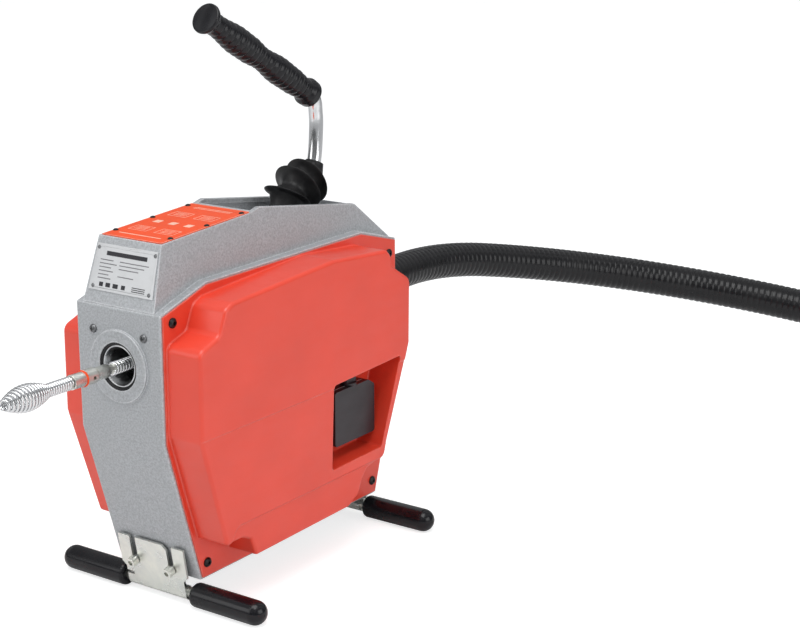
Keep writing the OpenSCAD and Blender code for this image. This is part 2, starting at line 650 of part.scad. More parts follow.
// Pulley with a flat belt seat between two rims
module pulley(r, bore) turned([
    [bore, belt_y], [r + 4, belt_y], [r + 4, belt_y + 2], [r, belt_y + 3], [r, belt_y + belt_w - 3],
    [r + 4, belt_y + belt_w - 2], [r + 4, belt_y + belt_w], [bore, belt_y + belt_w]
]);
module spindle_pulley() color([0.55, 0.56, 0.58]) difference() {
    pulley(big_pulley_r, spindle_r + 0.02);
    for (face = [belt_y - 1, belt_y + belt_w - 6]) tube_y(big_pulley_r - 10, spindle_r + 14, face,
        face + 7);
}
module motor_pulley() color([0.55, 0.56, 0.58]) on_motor() pulley(small_pulley_r, shaft_r + 0.02);

// Open belt round both pulleys: two straight runs and two arcs
belt_span = axis_h - motor_h;
belt_lean = asin((big_pulley_r - small_pulley_r) / belt_span);
module belt_outline(grow) {
    a = belt_lean;
    big = big_pulley_r + grow;
    small = small_pulley_r + grow;
    union() {
        circle(r = big);
        translate([0, -belt_span]) circle(r = small);
        polygon([
            [big * cos(a), -big * sin(a)], [-big * cos(a), -big * sin(a)],
            [-small * cos(a), -belt_span - small * sin(a)], [small * cos(a), -belt_span - small * sin(a)]
        ]);
    }
}
module drive_belt() color([0.09, 0.09, 0.09]) translate([0, belt_y + belt_w - 3.5, 0]) rotate([90, 0, 0])
    linear_extrude(belt_w - 7) difference() {
        belt_outline(belt_t);
        belt_outline(0.03);
    }

module capacitor() color([0.75, 0.75, 0.74]) from_floor()
    translate([-40, 310, frame_base_h + frame_wall + 20.02])
    rotate([-90, 0, 0]) {
    cylinder(h = 62, r = 20);
    translate([0, 0, 62]) cylinder(h = 4, r = 16);
    for (x = [-6, 6]) translate([x - 2, -0.5, 60]) cube([4, 1, 14]);
}

// ---------------------------------------------------------------- switch
switch_y = [278, 362];
switch_h = [143, 215];
switch_x = [right_cover_x - pocket_depth + eps, right_cover_x - 19];
knob_pos = [(switch_x[0] + switch_x[1]) / 2 + 2, (switch_y[0] + switch_y[1]) / 2];
knob_r = 11;
module switch_housing() color([0.17, 0.17, 0.19]) from_floor() difference() {
    union() {
        side_block(switch_x[0], switch_x[1]) polygon(rounded([
            [switch_y[0], switch_h[0]], [switch_y[1], switch_h[0]], [switch_y[1], switch_h[1] - 8],
            [switch_y[1] - 12, switch_h[1]], [switch_y[0], switch_h[1]]
        ], 4));
        for (y = [switch_y[0] + 12, switch_y[1] - 12]) bar_x(2, switch_x[0] - 6, switch_x[0] + 1,
            [y, (switch_h[0] + switch_h[1]) / 2]);
    }
    translate([knob_pos[0], knob_pos[1], switch_h[1] - 6]) cylinder(h = 8, r = 4.05);
}
module switch_knob() color([0.10, 0.10, 0.11]) from_floor()
    translate([knob_pos[0], knob_pos[1], switch_h[1]]) {
    translate([0, 0, -5.5]) cylinder(h = 6, r = 4);
    difference() {
        translate([0, 0, 0.1]) cylinder(h = 9, r = knob_r);
        for (s = [-1, 1]) translate([s * (knob_r - 1) - 4.5, -15, 3]) cube([9, 30, 10]);
    }
}

gland_x = -38;
gland_h = 110;
gland_r = 8;
gland_seat = 0.15;
cord_r = 4;
cord_straight = 40;
cord_bend = 60;
// Frame of the gland on the rear wall's lower slope, z out of the wall and -y down it
module on_gland() at_foot_face(1) translate([gland_x, 0, (gland_h - frame_base_h) / cos(face_tilt)])
    rotate([90, 0, 0]) children();
module cord_gland() color([0.08, 0.08, 0.08]) from_floor() on_gland() difference() {
    union() {
        translate([0, 0, -8]) cylinder(h = 9, r = gland_r);
        translate([0, 0, gland_seat]) cylinder(h = 8, r = 13, $fn = 6);
        translate([0, 0, 7]) cylinder(h = 26, r1 = 9, r2 = 6);
    }
    translate([0, 0, -20]) cylinder(h = 60, r = cord_r + slide_gap);
}
module power_cord() color([0.05, 0.05, 0.05]) from_floor() on_gland() {
    translate([0, 0, -18]) cylinder(h = cord_straight + 18, r = cord_r);
    translate([0, -cord_bend, cord_straight]) rotate([90, 0, 90])
        rotate_extrude(angle = 90) translate([cord_bend, 0]) circle(r = cord_r);
}

// ---------------------------------------------------------------- feet
foot_screw_up = 12;
// Frame on a sloping foot face: z up the slope, -y out of the casting; rear = 1 mirrors it
module at_foot_face(rear) flip_rear(rear) translate([0, base_front_y, frame_base_h])
    rotate([face_tilt, 0, 0]) children();
module flip_rear(rear) translate([0, rear ? 2 * mid_y : 0, 0]) mirror([0, rear, 0]) children();

module foot_bars() color([0.80, 0.80, 0.78]) from_floor() for (rear = [0, 1])
    flip_rear(rear) bar_x(bar_r, -foot_reach + grip_r, foot_reach - grip_r, [bar_front_y, bar_h]);

// Slotted plate that hangs on the two foot screws, with its lower edge wrapped round the bar
plate_half_w = 52;
hem_half_w = 46;
plate_top = 62;
slot_r = 4.5;
module bracket_plate() difference() {
    rotate([90, 0, 0]) linear_extrude(bracket_t) polygon([
        [-hem_half_w, 0], [hem_half_w, 0], [hem_half_w, 18], [plate_half_w, 24], [plate_half_w, plate_top],
        [-plate_half_w, plate_top], [-plate_half_w, 24], [-hem_half_w, 18]
    ]);
    for (side = [-1, 1]) {
        translate([side * foot_screw_x, 5, slot_base]) rotate([90, 0, 0]) cylinder(h = 12, r = slot_r);
        translate([side * foot_screw_x - slot_r, -7, slot_base]) cube([2 * slot_r, 12, 60]);
    }
    translate([foot_screw_x - slot_r, -7, plate_top]) rotate([0, 45, 0]) translate([-4.5, 0, -4.5])
        cube([9, 12, 9]);
    translate([-hem_half_w - 1, -7, 8]) cube([12, 12, 4]);
}
// The slots' lower ends are centred just below where the screws cross the plate
face_up = [-sin(face_tilt), cos(face_tilt)];
face_out = [-cos(face_tilt), -sin(face_tilt)];
plate_up = [-sin(plate_tilt), cos(plate_tilt)];
plate_foot = [bar_front_y - bar_r - slide_gap, bar_h];
screw_from_plate = [base_front_y, frame_base_h] + face_up * foot_screw_up - plate_foot;
slot_base = cross(screw_from_plate, face_out) / cross(plate_up, face_out) - 0.3;
module foot_brackets() color([0.80, 0.80, 0.76]) from_floor() for (rear = [0, 1]) flip_rear(rear)
    difference() {
    union() {
        translate([0, plate_foot[0], plate_foot[1]]) rotate([plate_tilt, 0, 0]) bracket_plate();
        bar_x(bar_r + bracket_t, -hem_half_w, hem_half_w, [bar_front_y, bar_h]);
    }
    bar_x(bar_r + slide_gap, -80, 80, [bar_front_y, bar_h]);
    translate([-80, bar_front_y, bar_h + 3]) cube([160, 20, 20]);
}

module foot_screws() color([0.84, 0.85, 0.84]) from_floor() for (rear = [0, 1]) at_foot_face(rear)
    for (side = [-1, 1])
    translate([side * foot_screw_x, 0, foot_screw_up]) rotate([90, 0, 0]) difference() {
        union() {
            translate([0, 0, -11]) cylinder(h = 22, r = 4);
            translate([0, 0, 9.8]) cylinder(h = 9, r = 6.5);
        }
        translate([0, 0, 14]) cylinder(h = 6, r = 3.5, $fn = 6);
    }

module foot_grips() color([0.05, 0.05, 0.06]) from_floor() for (rear = [0, 1]) for (side = [0, 1])
    flip_rear(rear) mirror([side, 0, 0]) difference() {
        translate([0, bar_front_y, bar_h]) rotate([0, 90, 0]) union() {
            rotate_extrude() polygon(concat([[0, grip_inner_x], [grip_r - 5, grip_inner_x]],
                [for (a = [-60:30:0]) [grip_r - 5 + 5 * cos(a), grip_inner_x + 5 + 5 * sin(a)]],
                [[grip_r, foot_reach - grip_r], [0, foot_reach - grip_r]]));
            translate([0, 0, foot_reach - grip_r]) sphere(r = grip_r);
        }
        bar_x(bar_r + 0.02, 0, foot_reach - grip_r + 1, [bar_front_y, bar_h]);
        translate([0, 0, -10]) cube([200, 100, 10]);
    }

// ---------------------------------------------------------------- guide hose
adapter_bolt_r = 38;
module hose_adapter() color([0.07, 0.07, 0.07]) difference() {
    turned([
        [hose_bore_r, frame_depth + eps], [44, frame_depth + eps], [44, frame_depth + 6],
    [31, frame_depth + 6], [29, frame_depth + 8], [hose_bore_r + 2, frame_depth + 13],
        [hose_bore_r + 2, frame_depth + 50],
        [hose_bore_r, frame_depth + 52]
    ]);
    for (a = [45:90:315]) rotate([0, a, 0]) translate([adapter_bolt_r, 0, 0])
        bar_y(2.6, frame_depth - 1, frame_depth + 10);
}
module adapter_screws() color([0.12, 0.12, 0.13]) for (a = [45:90:315]) rotate([0, a, 0])
    translate([adapter_bolt_r, 0, 0]) difference() {
        union() {
            bar_y(2.5, frame_depth - 6, frame_depth + 7);
            bar_y(4.6, frame_depth + 6.02, frame_depth + 10);
        }
        translate([0, frame_depth + 7.5, 0]) rotate([-90, 0, 0]) cylinder(h = 4, r = 2.2, $fn = 6);
    }
module hose_clamp() color([0.82, 0.82, 0.82]) {
    tube_y(hose_r + 1.1, hose_r + 0.05, hose_y + 8, hose_y + 20);
    translate([-9, hose_y + 9, -hose_r - 8]) cube([18, 10, 7.2]);
}

module hose_bend(arc, r) translate([arc[0], 0, 0]) rotate([0, 0, 180 - arc[1]])
    rotate_extrude(angle = arc[1]) translate([arc[0], 0]) circle(r = r);
// Frame at the end of an arc that starts along +Y and bends towards +X
module after_bend(arc) translate([arc[0] * (1 - cos(arc[1])), arc[0] * sin(arc[1]), 0])
    rotate([0, 0, -arc[1]]) children();
module hose_frame_1() translate([0, hose_y + hose_straight, 0]) rotate([0, hose_roll_1, 0]) children();
module hose_frame_2() hose_frame_1() after_bend(hose_arc_1) rotate([0, hose_roll_2, 0]) children();
module hose_end() hose_frame_2() after_bend(hose_arc_2) children();

// Short band round the joint between two stretches of the hose
band_l = 8;
module band(grow) bar_y(grow + 0.5, -band_l / 2, band_l / 2);
module hose_band_1(r) translate([0, hose_y + hose_straight, 0]) band(r);
module hose_band_2(r) hose_frame_2() band(r);

module guide_hose() color([0.06, 0.06, 0.06]) difference() {
    union() {
        union() {
            bar_y(hose_r, hose_y, hose_y + hose_straight);
            hose_band_1(hose_r);
        }
        union() {
            hose_frame_1() hose_bend(hose_arc_1, hose_r);
            hose_band_2(hose_r);
        }
        hose_frame_2() hose_bend(hose_arc_2, hose_r);
    }
    bar_y(hose_bore_r + 2.05, hose_y - 1, frame_depth + 52);
    bar_y(hose_bore_r, hose_y, hose_y + hose_straight);
    hose_band_1(hose_bore_r);
    hose_frame_1() hose_bend(hose_arc_1, hose_bore_r);
    hose_band_2(hose_bore_r);
    hose_frame_2() hose_bend(hose_arc_2, hose_bore_r);
}
cuff_l = 40;
module hose_cuff() color([0.10, 0.10, 0.10]) hose_end() difference() {
    tube_y(hose_r + 3, hose_bore_r - 1, -20, cuff_l);
    tube_y(hose_r + 0.6, 1, -30, 0);
}

// ---------------------------------------------------------------- spiral
spiral_y = [-14, 540];
coupling_y = [-78, spiral_y[0] - eps];
collar_y = [-56, -38];
coupling_r = 8.4;
module spiral_cable() color([0.8, 0.8, 0.8]) tube_y(spiral_r, 5.5, spiral_y[0], spiral_y[1]);
module spiral_coupling() color([0.83, 0.82, 0.80]) difference() {
    turned([
        [0, coupling_y[0] - 14], [4, coupling_y[0] - 14], [4, coupling_y[0]], [coupling_r, coupling_y[0]],
        [coupling_r, collar_y[0] - 2], [9.6, collar_y[0]], [9.6, collar_y[1]],
            [coupling_r, collar_y[1] + 2],
        [coupling_r, coupling_y[1]], [5.4, coupling_y[1]], [5.4, coupling_y[1] + 20],
            [0, coupling_y[1] + 20]
    ]);
    bar_x(2, -20, 20, [(collar_y[0] + collar_y[1]) / 2, 0]);
}
// Auger: a neck of close coils that swells into a bulb towards its tip
auger_neck = 36;
auger_l = 98;
auger_pitch = 4.2;
auger_wire_r = 1.7;
module auger_head() color([0.78, 0.78, 0.77])
    translate([0, coupling_y[0] - auger_wire_r - slide_gap, 0]) rotate([90, 0, 0])
        coil(spiral_r - auger_wire_r, auger_pitch, auger_l / auger_pitch, auger_wire_r, 14, 6, 3.5, 9,
             auger_neck / auger_l);

frame_casting();
right_cover();
left_cover();
cover_screws();
label_plate();
label_rivets();
name_plate();
name_plate_rivets();
nose_seal();
nose_screws();
bearing_retainer();
front_bearing_outer();
front_bearing_inner();
front_bearing_balls();
rear_bearing_outer();
rear_bearing_inner();
rear_bearing_balls();
spindle();
spindle_pulley();
jaw_1();
jaw_2();
jaw_3();
cone_ring();
thrust_bearing();
pressure_ring();
lever_fork();
lever_rod();
lever_grip();
pivot_pin();
lever_spring();
bellows();
bellows_clamp();
motor_housing();
motor_front_shield();
motor_rear_shield();
motor_bolts();
motor_mount();
rotor();
motor_fan();
motor_pulley();
drive_belt();
capacitor();
switch_housing();
switch_knob();
cord_gland();
power_cord();
foot_bars();
foot_brackets();
foot_screws();
foot_grips();
hose_adapter();
adapter_screws();
hose_clamp();
guide_hose();
hose_cuff();
spiral_cable();
spiral_coupling();
auger_head();
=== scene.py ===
"""Looks of a drain snake machine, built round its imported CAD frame. Metres, in the row frame."""

import json
import math

import bmesh
import bpy
import numpy as np
from mathutils import Matrix, Vector

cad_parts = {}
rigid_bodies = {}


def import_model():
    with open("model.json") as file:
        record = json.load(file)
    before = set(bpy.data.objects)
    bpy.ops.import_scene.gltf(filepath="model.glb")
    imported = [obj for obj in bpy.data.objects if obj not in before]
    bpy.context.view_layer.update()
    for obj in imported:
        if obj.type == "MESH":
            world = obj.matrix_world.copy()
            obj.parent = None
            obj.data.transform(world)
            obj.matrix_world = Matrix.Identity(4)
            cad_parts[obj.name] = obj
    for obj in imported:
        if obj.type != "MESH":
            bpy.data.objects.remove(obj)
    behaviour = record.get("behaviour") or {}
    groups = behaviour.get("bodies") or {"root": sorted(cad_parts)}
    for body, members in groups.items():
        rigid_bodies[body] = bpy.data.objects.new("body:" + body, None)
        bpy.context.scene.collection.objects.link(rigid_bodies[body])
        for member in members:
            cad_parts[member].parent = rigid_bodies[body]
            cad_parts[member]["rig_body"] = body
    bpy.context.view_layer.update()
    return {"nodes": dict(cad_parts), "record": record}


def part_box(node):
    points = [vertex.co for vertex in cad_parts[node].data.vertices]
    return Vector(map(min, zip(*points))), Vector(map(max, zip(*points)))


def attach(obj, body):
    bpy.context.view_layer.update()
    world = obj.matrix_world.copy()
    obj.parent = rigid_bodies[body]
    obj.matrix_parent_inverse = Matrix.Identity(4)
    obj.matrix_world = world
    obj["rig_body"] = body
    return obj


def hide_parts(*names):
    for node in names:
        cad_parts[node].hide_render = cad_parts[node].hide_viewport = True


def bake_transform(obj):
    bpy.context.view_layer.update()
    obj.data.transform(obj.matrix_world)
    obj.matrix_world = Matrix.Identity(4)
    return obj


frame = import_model()
nodes = frame["nodes"]
record = frame["record"]
mm = 0.001
floor_z = next(m for m in record["mounts"] if m["name"] == "floor_rest")["pos_m"][2]


def above_floor(x, y, h):
    """A point given in millimetres, with its height above the floor."""
    return Vector((x * mm, y * mm, floor_z + h * mm))


# ---------------------------------------------------------------- materials


class Nodes:
    """Short calls for building one material's node tree."""

    def __init__(self, name):
        self.mat = bpy.data.materials.new(name)
        self.mat.use_nodes = True
        self.tree = self.mat.node_tree
        self.bsdf = self.tree.nodes["Principled BSDF"]
        self.coords = self.tree.nodes.new("ShaderNodeTexCoord").outputs["Object"]

    def link(self, a, b):
        self.tree.links.new(a, b)

    def noise(self, scale, detail=3.0, rough=0.55, stretch=None):
        node = self.tree.nodes.new("ShaderNodeTexNoise")
        node.inputs["Scale"].default_value = scale
        node.inputs["Detail"].default_value = detail
        node.inputs["Roughness"].default_value = rough
        source = self.coords
        if stretch:
            mapping = self.tree.nodes.new("ShaderNodeMapping")
            mapping.inputs["Scale"].default_value = stretch
            self.link(self.coords, mapping.inputs["Vector"])
            source = mapping.outputs["Vector"]
        self.link(source, node.inputs["Vector"])
        return node.outputs["Fac"]

    def cells(self, scale):
        node = self.tree.nodes.new("ShaderNodeTexVoronoi")
        node.inputs["Scale"].default_value = scale
        self.link(self.coords, node.inputs["Vector"])
        return node.outputs["Distance"]

    def ramp(self, value, low, high, a, b):
        node = self.tree.nodes.new("ShaderNodeMapRange")
        node.inputs["From Min"].default_value = low
        node.inputs["From Max"].default_value = high
        node.inputs["To Min"].default_value = a
        node.inputs["To Max"].default_value = b
        self.link(value, node.inputs["Value"])
        return node.outputs["Result"]

    def math(self, kind, a, b):
        node = self.tree.nodes.new("ShaderNodeMath")
        node.operation = kind
        for socket, v in zip(node.inputs, (a, b)):
            if isinstance(v, (int, float)):
                socket.default_value = v
            else:
                self.link(v, socket)
        return node.outputs[0]

    def mix(self, factor, a, b):
        node = self.tree.nodes.new("ShaderNodeMix")
        node.data_type = "RGBA"
        if isinstance(factor, (int, float)):
            node.inputs["Factor"].default_value = factor
        else:
            self.link(factor, node.inputs["Factor"])
        for name, v in (("A", a), ("B", b)):
            socket = next(s for s in node.inputs if s.name == name and s.type == "RGBA")
            if isinstance(v, tuple):
                socket.default_value = (*v, 1)
            else:
                self.link(v, socket)
        return next(s for s in node.outputs if s.type == "RGBA")

    def edges(self, width):
        """One on edges that stick out, nought on flat faces."""
        bevel = self.tree.nodes.new("ShaderNodeBevel")
        bevel.samples = 3
        bevel.inputs["Radius"].default_value = width
        geometry = self.tree.nodes.new("ShaderNodeNewGeometry")
        dot = self.tree.nodes.new("ShaderNodeVectorMath")
        dot.operation = "DOT_PRODUCT"
        self.link(bevel.outputs["Normal"], dot.inputs[0])
        self.link(geometry.outputs["Normal"], dot.inputs[1])
        return self.ramp(dot.outputs["Value"], 0.86, 0.998, 1.0, 0.0)

    def camera_rays(self):
        """One where the camera looks straight at the surface, nought for light that bounces."""
        return self.tree.nodes.new("ShaderNodeLightPath").outputs["Is Camera Ray"]

    def bump(self, height, strength, distance):
        node = self.tree.nodes.new("ShaderNodeBump")
        node.inputs["Strength"].default_value = strength
        node.inputs["Distance"].default_value = distance
        self.link(height, node.inputs["Height"])
        previous = getattr(self, "normal", None)
        if previous:
            self.link(previous, node.inputs["Normal"])
        self.normal = node.outputs["Normal"]
        self.link(self.normal, self.bsdf.inputs["Normal"])

    def set(self, **values):
        for name, v in values.items():
            socket = self.bsdf.inputs[name.replace("_", " ")]
            if isinstance(v, tuple):
                socket.default_value = (*v, 1)
            elif isinstance(v, (int, float)):
                socket.default_value = v
            else:
                self.link(v, socket)


def hammertone(name, base):
    """Grey hammer-finish enamel: fine light and dark speckle, a pebbled skin and a painted highlight along
    its edges.
    """
    n = Nodes(name)
    speckle = n.ramp(n.noise(430, 2.0, 0.7), 0.38, 0.62, 0.0, 1.0)
    broad = n.ramp(n.noise(14, 3.0), 0.3, 0.7, 0.0, 1.0)
    dark = tuple(c * 0.82 for c in base)
    light = tuple(min(1, c * 1.18) for c in base)
    paint = n.mix(speckle, dark, light)
    paint = n.mix(n.math("MULTIPLY", broad, 0.25), paint, tuple(c * 0.9 for c in base))
    # Painted highlight: convex edges are lightened, in patches, towards near-white.
    edge_highlight = n.math("MULTIPLY", n.edges(0.0024), n.ramp(n.noise(120), 0.35, 0.6, 0.5, 1.0))
    n.set(Base_Color=n.mix(n.math("MULTIPLY", edge_highlight, 0.85), paint, (0.86, 0.87, 0.89)))
    n.set(Roughness=n.ramp(speckle, 0, 1, 0.36, 0.52), Metallic=0.22, Coat_Weight=0.08, Coat_Roughness=0.3)
    n.bump(n.cells(330), 0.30, 0.0005)
    n.bump(n.noise(1500, 2.0), 0.12, 0.0002)
    return n.mat


def moulded(name, base, rough=0.38, grain=0.10, pale=(0.95, 0.62, 0.52), pale_share=0.35, coat=0.25):
    """Moulded plastic: a fine grain, slow colour drift, and edges lightened towards a pale colour."""
    n = Nodes(name)
    drift = n.ramp(n.noise(9, 2.0), 0.3, 0.7, 0.0, 1.0)
    fine = n.noise(1400, 2.0)
    colour = n.mix(drift, tuple(c * 0.94 for c in base), tuple(min(1, c * 1.04) for c in base))
    # Convex edges are lightened, in patches, towards the pale colour.
    pale_edges = n.math("MULTIPLY", n.edges(0.0018), n.ramp(n.noise(60), 0.4, 0.7, 0.3, 1.0))
    n.set(Base_Color=n.mix(n.math("MULTIPLY", pale_edges, pale_share), colour, pale))
    smear = n.ramp(n.noise(22, 4.0, 0.6, (1, 1, 3)), 0.3, 0.7, rough - 0.06, rough + 0.08)
    n.set(Roughness=smear, Coat_Weight=coat, Coat_Roughness=0.22, Specular_IOR_Level=0.5)
    n.bump(fine, grain, 0.00015)
    n.bump(n.noise(25, 2.0), 0.05, 0.0008)
    return n.mat


def metal(name, base, rough=0.3, brush=(1, 30, 1), streak=0.12, tint=None, dirt=0.25):
    """Bare or plated metal: fine directional lines, cloudy roughness and a little grime."""
    n = Nodes(name)
    lines = n.noise(260, 3.0, 0.6, brush)
    cloud = n.ramp(n.noise(40, 4.0), 0.3, 0.7, 0.0, 1.0)
    colour = n.mix(cloud, tuple(c * 0.9 for c in base), tint or base)
    grime = n.math("MULTIPLY", n.ramp(n.noise(90, 5.0), 0.55, 0.75, 0.0, 1.0), dirt)
    n.set(Base_Color=n.mix(grime, colour, tuple(c * 0.45 for c in base)), Metallic=1.0)
    n.set(Roughness=n.math("ADD", n.ramp(cloud, 0, 1, rough, rough + 0.12), n.math("MULTIPLY", grime, 0.5)))
    n.bump(lines, streak, 0.0001)
    return n.mat


def rubbery(name, base, rough, coat, grain=0.15, dust=0.10):
    """Black rubber or vinyl: a soft sheen, fine skin and a trace of dust."""
    n = Nodes(name)
    cloud = n.ramp(n.noise(30, 4.0), 0.35, 0.7, 0.0, 1.0)
    n.set(Base_Color=n.mix(n.math("MULTIPLY", cloud, dust), base, (0.16, 0.155, 0.15)))
    n.set(Roughness=n.ramp(cloud, 0, 1, rough, rough + 0.12), Coat_Weight=coat, Coat_Roughness=0.10)
    n.set(Specular_IOR_Level=0.22)
    n.bump(n.noise(900, 3.0), grain, 0.00012)
    return n.mat


def printed(name, base):
    """Screen-printed aluminium plate: even ink, a slight orange-peel and pale scuffed streaks."""
    n = Nodes(name)
    drift = n.ramp(n.noise(25, 3.0), 0.3, 0.7, 0.0, 1.0)
    colour = n.mix(drift, tuple(c * 0.94 for c in base), base)
    scuff = n.ramp(n.noise(180, 5.0, 0.7, (1, 6, 1)), 0.64, 0.72, 0.0, 0.35)
    n.set(Base_Color=n.mix(scuff, colour, tuple(min(1, c * 1.25 + 0.06) for c in base)))
    n.set(Roughness=n.ramp(drift, 0, 1, 0.36, 0.48), Specular_IOR_Level=0.25)
    n.bump(n.noise(500, 2.0), 0.06, 0.0001)
    return n.mat


finishes = {
    "casting": hammertone("hammertone_grey", (0.395, 0.41, 0.425)),
    "cover_red": moulded("cover_red", (0.76, 0.055, 0.026)),
    "black_screw": metal("blackened_steel", (0.035, 0.035, 0.037), 0.35, (1, 1, 1), 0.1, (0.05, 0.05, 0.05)),
    "orange_label": printed("label_orange", (0.84, 0.085, 0.018)),
    "plate_silver": metal("plate_silver", (0.68, 0.69, 0.70), 0.42, (1, 1, 60), 0.10, dirt=0.06),
    "black_rubber": rubbery("black_rubber", (0.007, 0.007, 0.008), 0.36, 0.06),
    "gloss_vinyl": rubbery("gloss_vinyl", (0.005, 0.005, 0.007), 0.20, 0.22, 0.05, 0.03),
    "zinc": metal("zinc_plate", (0.76, 0.78, 0.75), 0.24, (1, 1, 1), 0.06, (0.84, 0.84, 0.77), 0.08),
    "bearing_steel": metal("ground_steel", (0.66, 0.67, 0.68), 0.14, (1, 60, 1), 0.04),
    "turned_steel": metal("turned_steel", (0.60, 0.61, 0.62), 0.24, (1, 90, 1), 0.12),
    "dark_steel": metal("oiled_steel", (0.20, 0.205, 0.21), 0.36, (1, 1, 20), 0.12),
    "chrome": metal("chrome", (0.76, 0.77, 0.78), 0.06, (1, 1, 1), 0.02, dirt=0.04),
    "motor_paint": moulded("motor_enamel", (0.05, 0.055, 0.065), 0.35, 0.2, (0.3, 0.3, 0.3), 0.3),
    "cast_alloy": metal("cast_alloy", (0.48, 0.49, 0.50), 0.42, (1, 1, 1), 0.3),
    "copper_core": metal("rotor_core", (0.30, 0.22, 0.16), 0.45, (1, 120, 1), 0.3),
    "black_plastic": moulded("black_plastic", (0.020, 0.017, 0.021), 0.42, 0.15,
                             (0.12, 0.11, 0.12), 0.3, 0.05),
    "white_plastic": moulded("white_plastic", (0.62, 0.62, 0.58), 0.45, 0.1, (0.8, 0.8, 0.8), 0.2),
    "hose_black": rubbery("hose_black", (0.006, 0.006, 0.007), 0.24, 0.20, 0.03, 0.02),
}
node_slots = {p["node"]: p["material_slot"] for p in record["subparts"]}


def finish_with(obj, slot_name):
    """Gives an object the finish of one of the record's material slots."""
    obj.data.materials.clear()
    obj.data.materials.append(finishes[slot_name])
    return obj


# ---------------------------------------------------------------- mesh helpers


def new_piece(name, verts, faces, slot_name, body, smooth=True):
    """A mesh piece with a finish, on a body; a piece that blends between bodies passes None."""
    mesh = bpy.data.meshes.new(name)
    mesh.from_pydata([tuple(v) for v in verts], [], faces)
    mesh.validate()
    if smooth:
        mesh.shade_smooth()
    obj = bpy.data.objects.new(name, mesh)
    bpy.context.scene.collection.objects.link(obj)
    finish_with(obj, slot_name)
    if body:
        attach(obj, body)
    return obj


def grid_faces(rings, sides):
    """Faces of a closed tube of rings, with both ends capped."""
    faces = []
    for i in range(rings - 1):
        for j in range(sides):
            k = (j + 1) % sides
            faces.append((i * sides + j, i * sides + k, (i + 1) * sides + k, (i + 1) * sides + j))
    faces.append(tuple(range(sides - 1, -1, -1)))
    faces.append(tuple((rings - 1) * sides + j for j in range(sides)))
    return faces


def sweep(points, radius_at, sides):
    """Tube along points: radius_at(distance, angle) gives its surface. Returns vertices and faces."""
    pts = np.array([tuple(p) for p in points], float)
    tangents = np.gradient(pts, axis=0)
    tangents /= np.linalg.norm(tangents, axis=1)[:, None]
    run = np.concatenate([[0], np.cumsum(np.linalg.norm(np.diff(pts, axis=0), axis=1))])
    side = np.cross(tangents[0], (0.0, 0.0, 1.0))
    if np.linalg.norm(side) < 0.2:
        side = np.cross(tangents[0], (1.0, 0.0, 0.0))
    verts = []
    for p, t, s in zip(pts, tangents, run):
        side = side - t * (side @ t)
        side /= np.linalg.norm(side)
        up = np.cross(side, t)
        for j in range(sides):
            a = 2 * math.pi * j / sides
            verts.append(p + (side * math.cos(a) + up * math.sin(a)) * radius_at(s, a))
    return verts, grid_faces(len(pts), sides)


def lathe(profile, origin, axis, sides=48):
    """Turned surface: profile is a list of (radius, distance along axis)."""
    axis = Vector(axis).normalized()
    side = axis.orthogonal().normalized()
    up = axis.cross(side)
    verts = []
    for r, d in profile:
        for j in range(sides):
            a = 2 * math.pi * j / sides
            verts.append(Vector(origin) + axis * d + (side * math.cos(a) + up * math.sin(a)) * max(r, 1e-5))
    return verts, grid_faces(len(profile), sides)


def smooth_path(points, step=0.004):
    """Catmull-Rom curve through the points, resampled at about the given step."""
    pts = [np.array(tuple(p), float) for p in points]
    pts = [2 * pts[0] - pts[1]] + pts + [2 * pts[-1] - pts[-2]]
    out = []
    for a, b, c, d in zip(pts, pts[1:], pts[2:], pts[3:]):
        n = max(2, int(np.linalg.norm(c - b) / step))
        for i in range(n):
            t = i / n
            out.append(0.5 * (2 * b + (c - a) * t + (2 * a - 5 * b + 4 * c - d) * t * t
                              + (3 * b - a - 3 * c + d) * t ** 3))
    out.append(pts[-2])
    return out


def eased(points_radii):
    """Radius profile that passes smoothly through (distance, radius) pairs."""
    d, r = zip(*points_radii)

    def at(s, _angle=0):
        i = int(np.clip(np.searchsorted(d, s) - 1, 0, len(d) - 2))
        t = float(np.clip((s - d[i]) / (d[i + 1] - d[i]), 0, 1))
        t = t * t * (3 - 2 * t)
        return r[i] + (r[i + 1] - r[i]) * t

    return at


def box_piece(name, lo, hi, slot_name, body, bevel):
    """Block between two corners, with rounded edges."""
    bm = bmesh.new()
    bmesh.ops.create_cube(bm, size=1)
    lo, hi = Vector(lo), Vector(hi)
    for v in bm.verts:
        v.co = Vector([lo[i] if v.co[i] < 0 else hi[i] for i in range(3)])
    bmesh.ops.bevel(bm, geom=bm.edges[:], offset=bevel, segments=2, affect="EDGES", profile=0.5)
    mesh = bpy.data.meshes.new(name)
    bm.to_mesh(mesh)
    bm.free()
    obj = bpy.data.objects.new(name, mesh)
    bpy.context.scene.collection.objects.link(obj)
    finish_with(obj, slot_name)
    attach(obj, body)
    return obj


# ---------------------------------------------------------------- softened copies of CAD nodes


def clean_copy(node):
    """The node's mesh with its split corners joined and its flat faces merged."""
    bm = bmesh.new()
    bm.from_mesh(nodes[node].data)
    bmesh.ops.remove_doubles(bm, verts=bm.verts[:], dist=2e-6)
    bmesh.ops.dissolve_limit(bm, angle_limit=math.radians(0.6), verts=bm.verts[:], edges=bm.edges[:])
    bmesh.ops.recalc_face_normals(bm, faces=bm.faces[:])
    return bm


def nearest_on(a, b, p):
    """The point of segment a to b that is nearest to p."""
    run = b - a
    t = min(1.0, max(0.0, (p - a).dot(run) / run.length_squared))
    return a + run * t


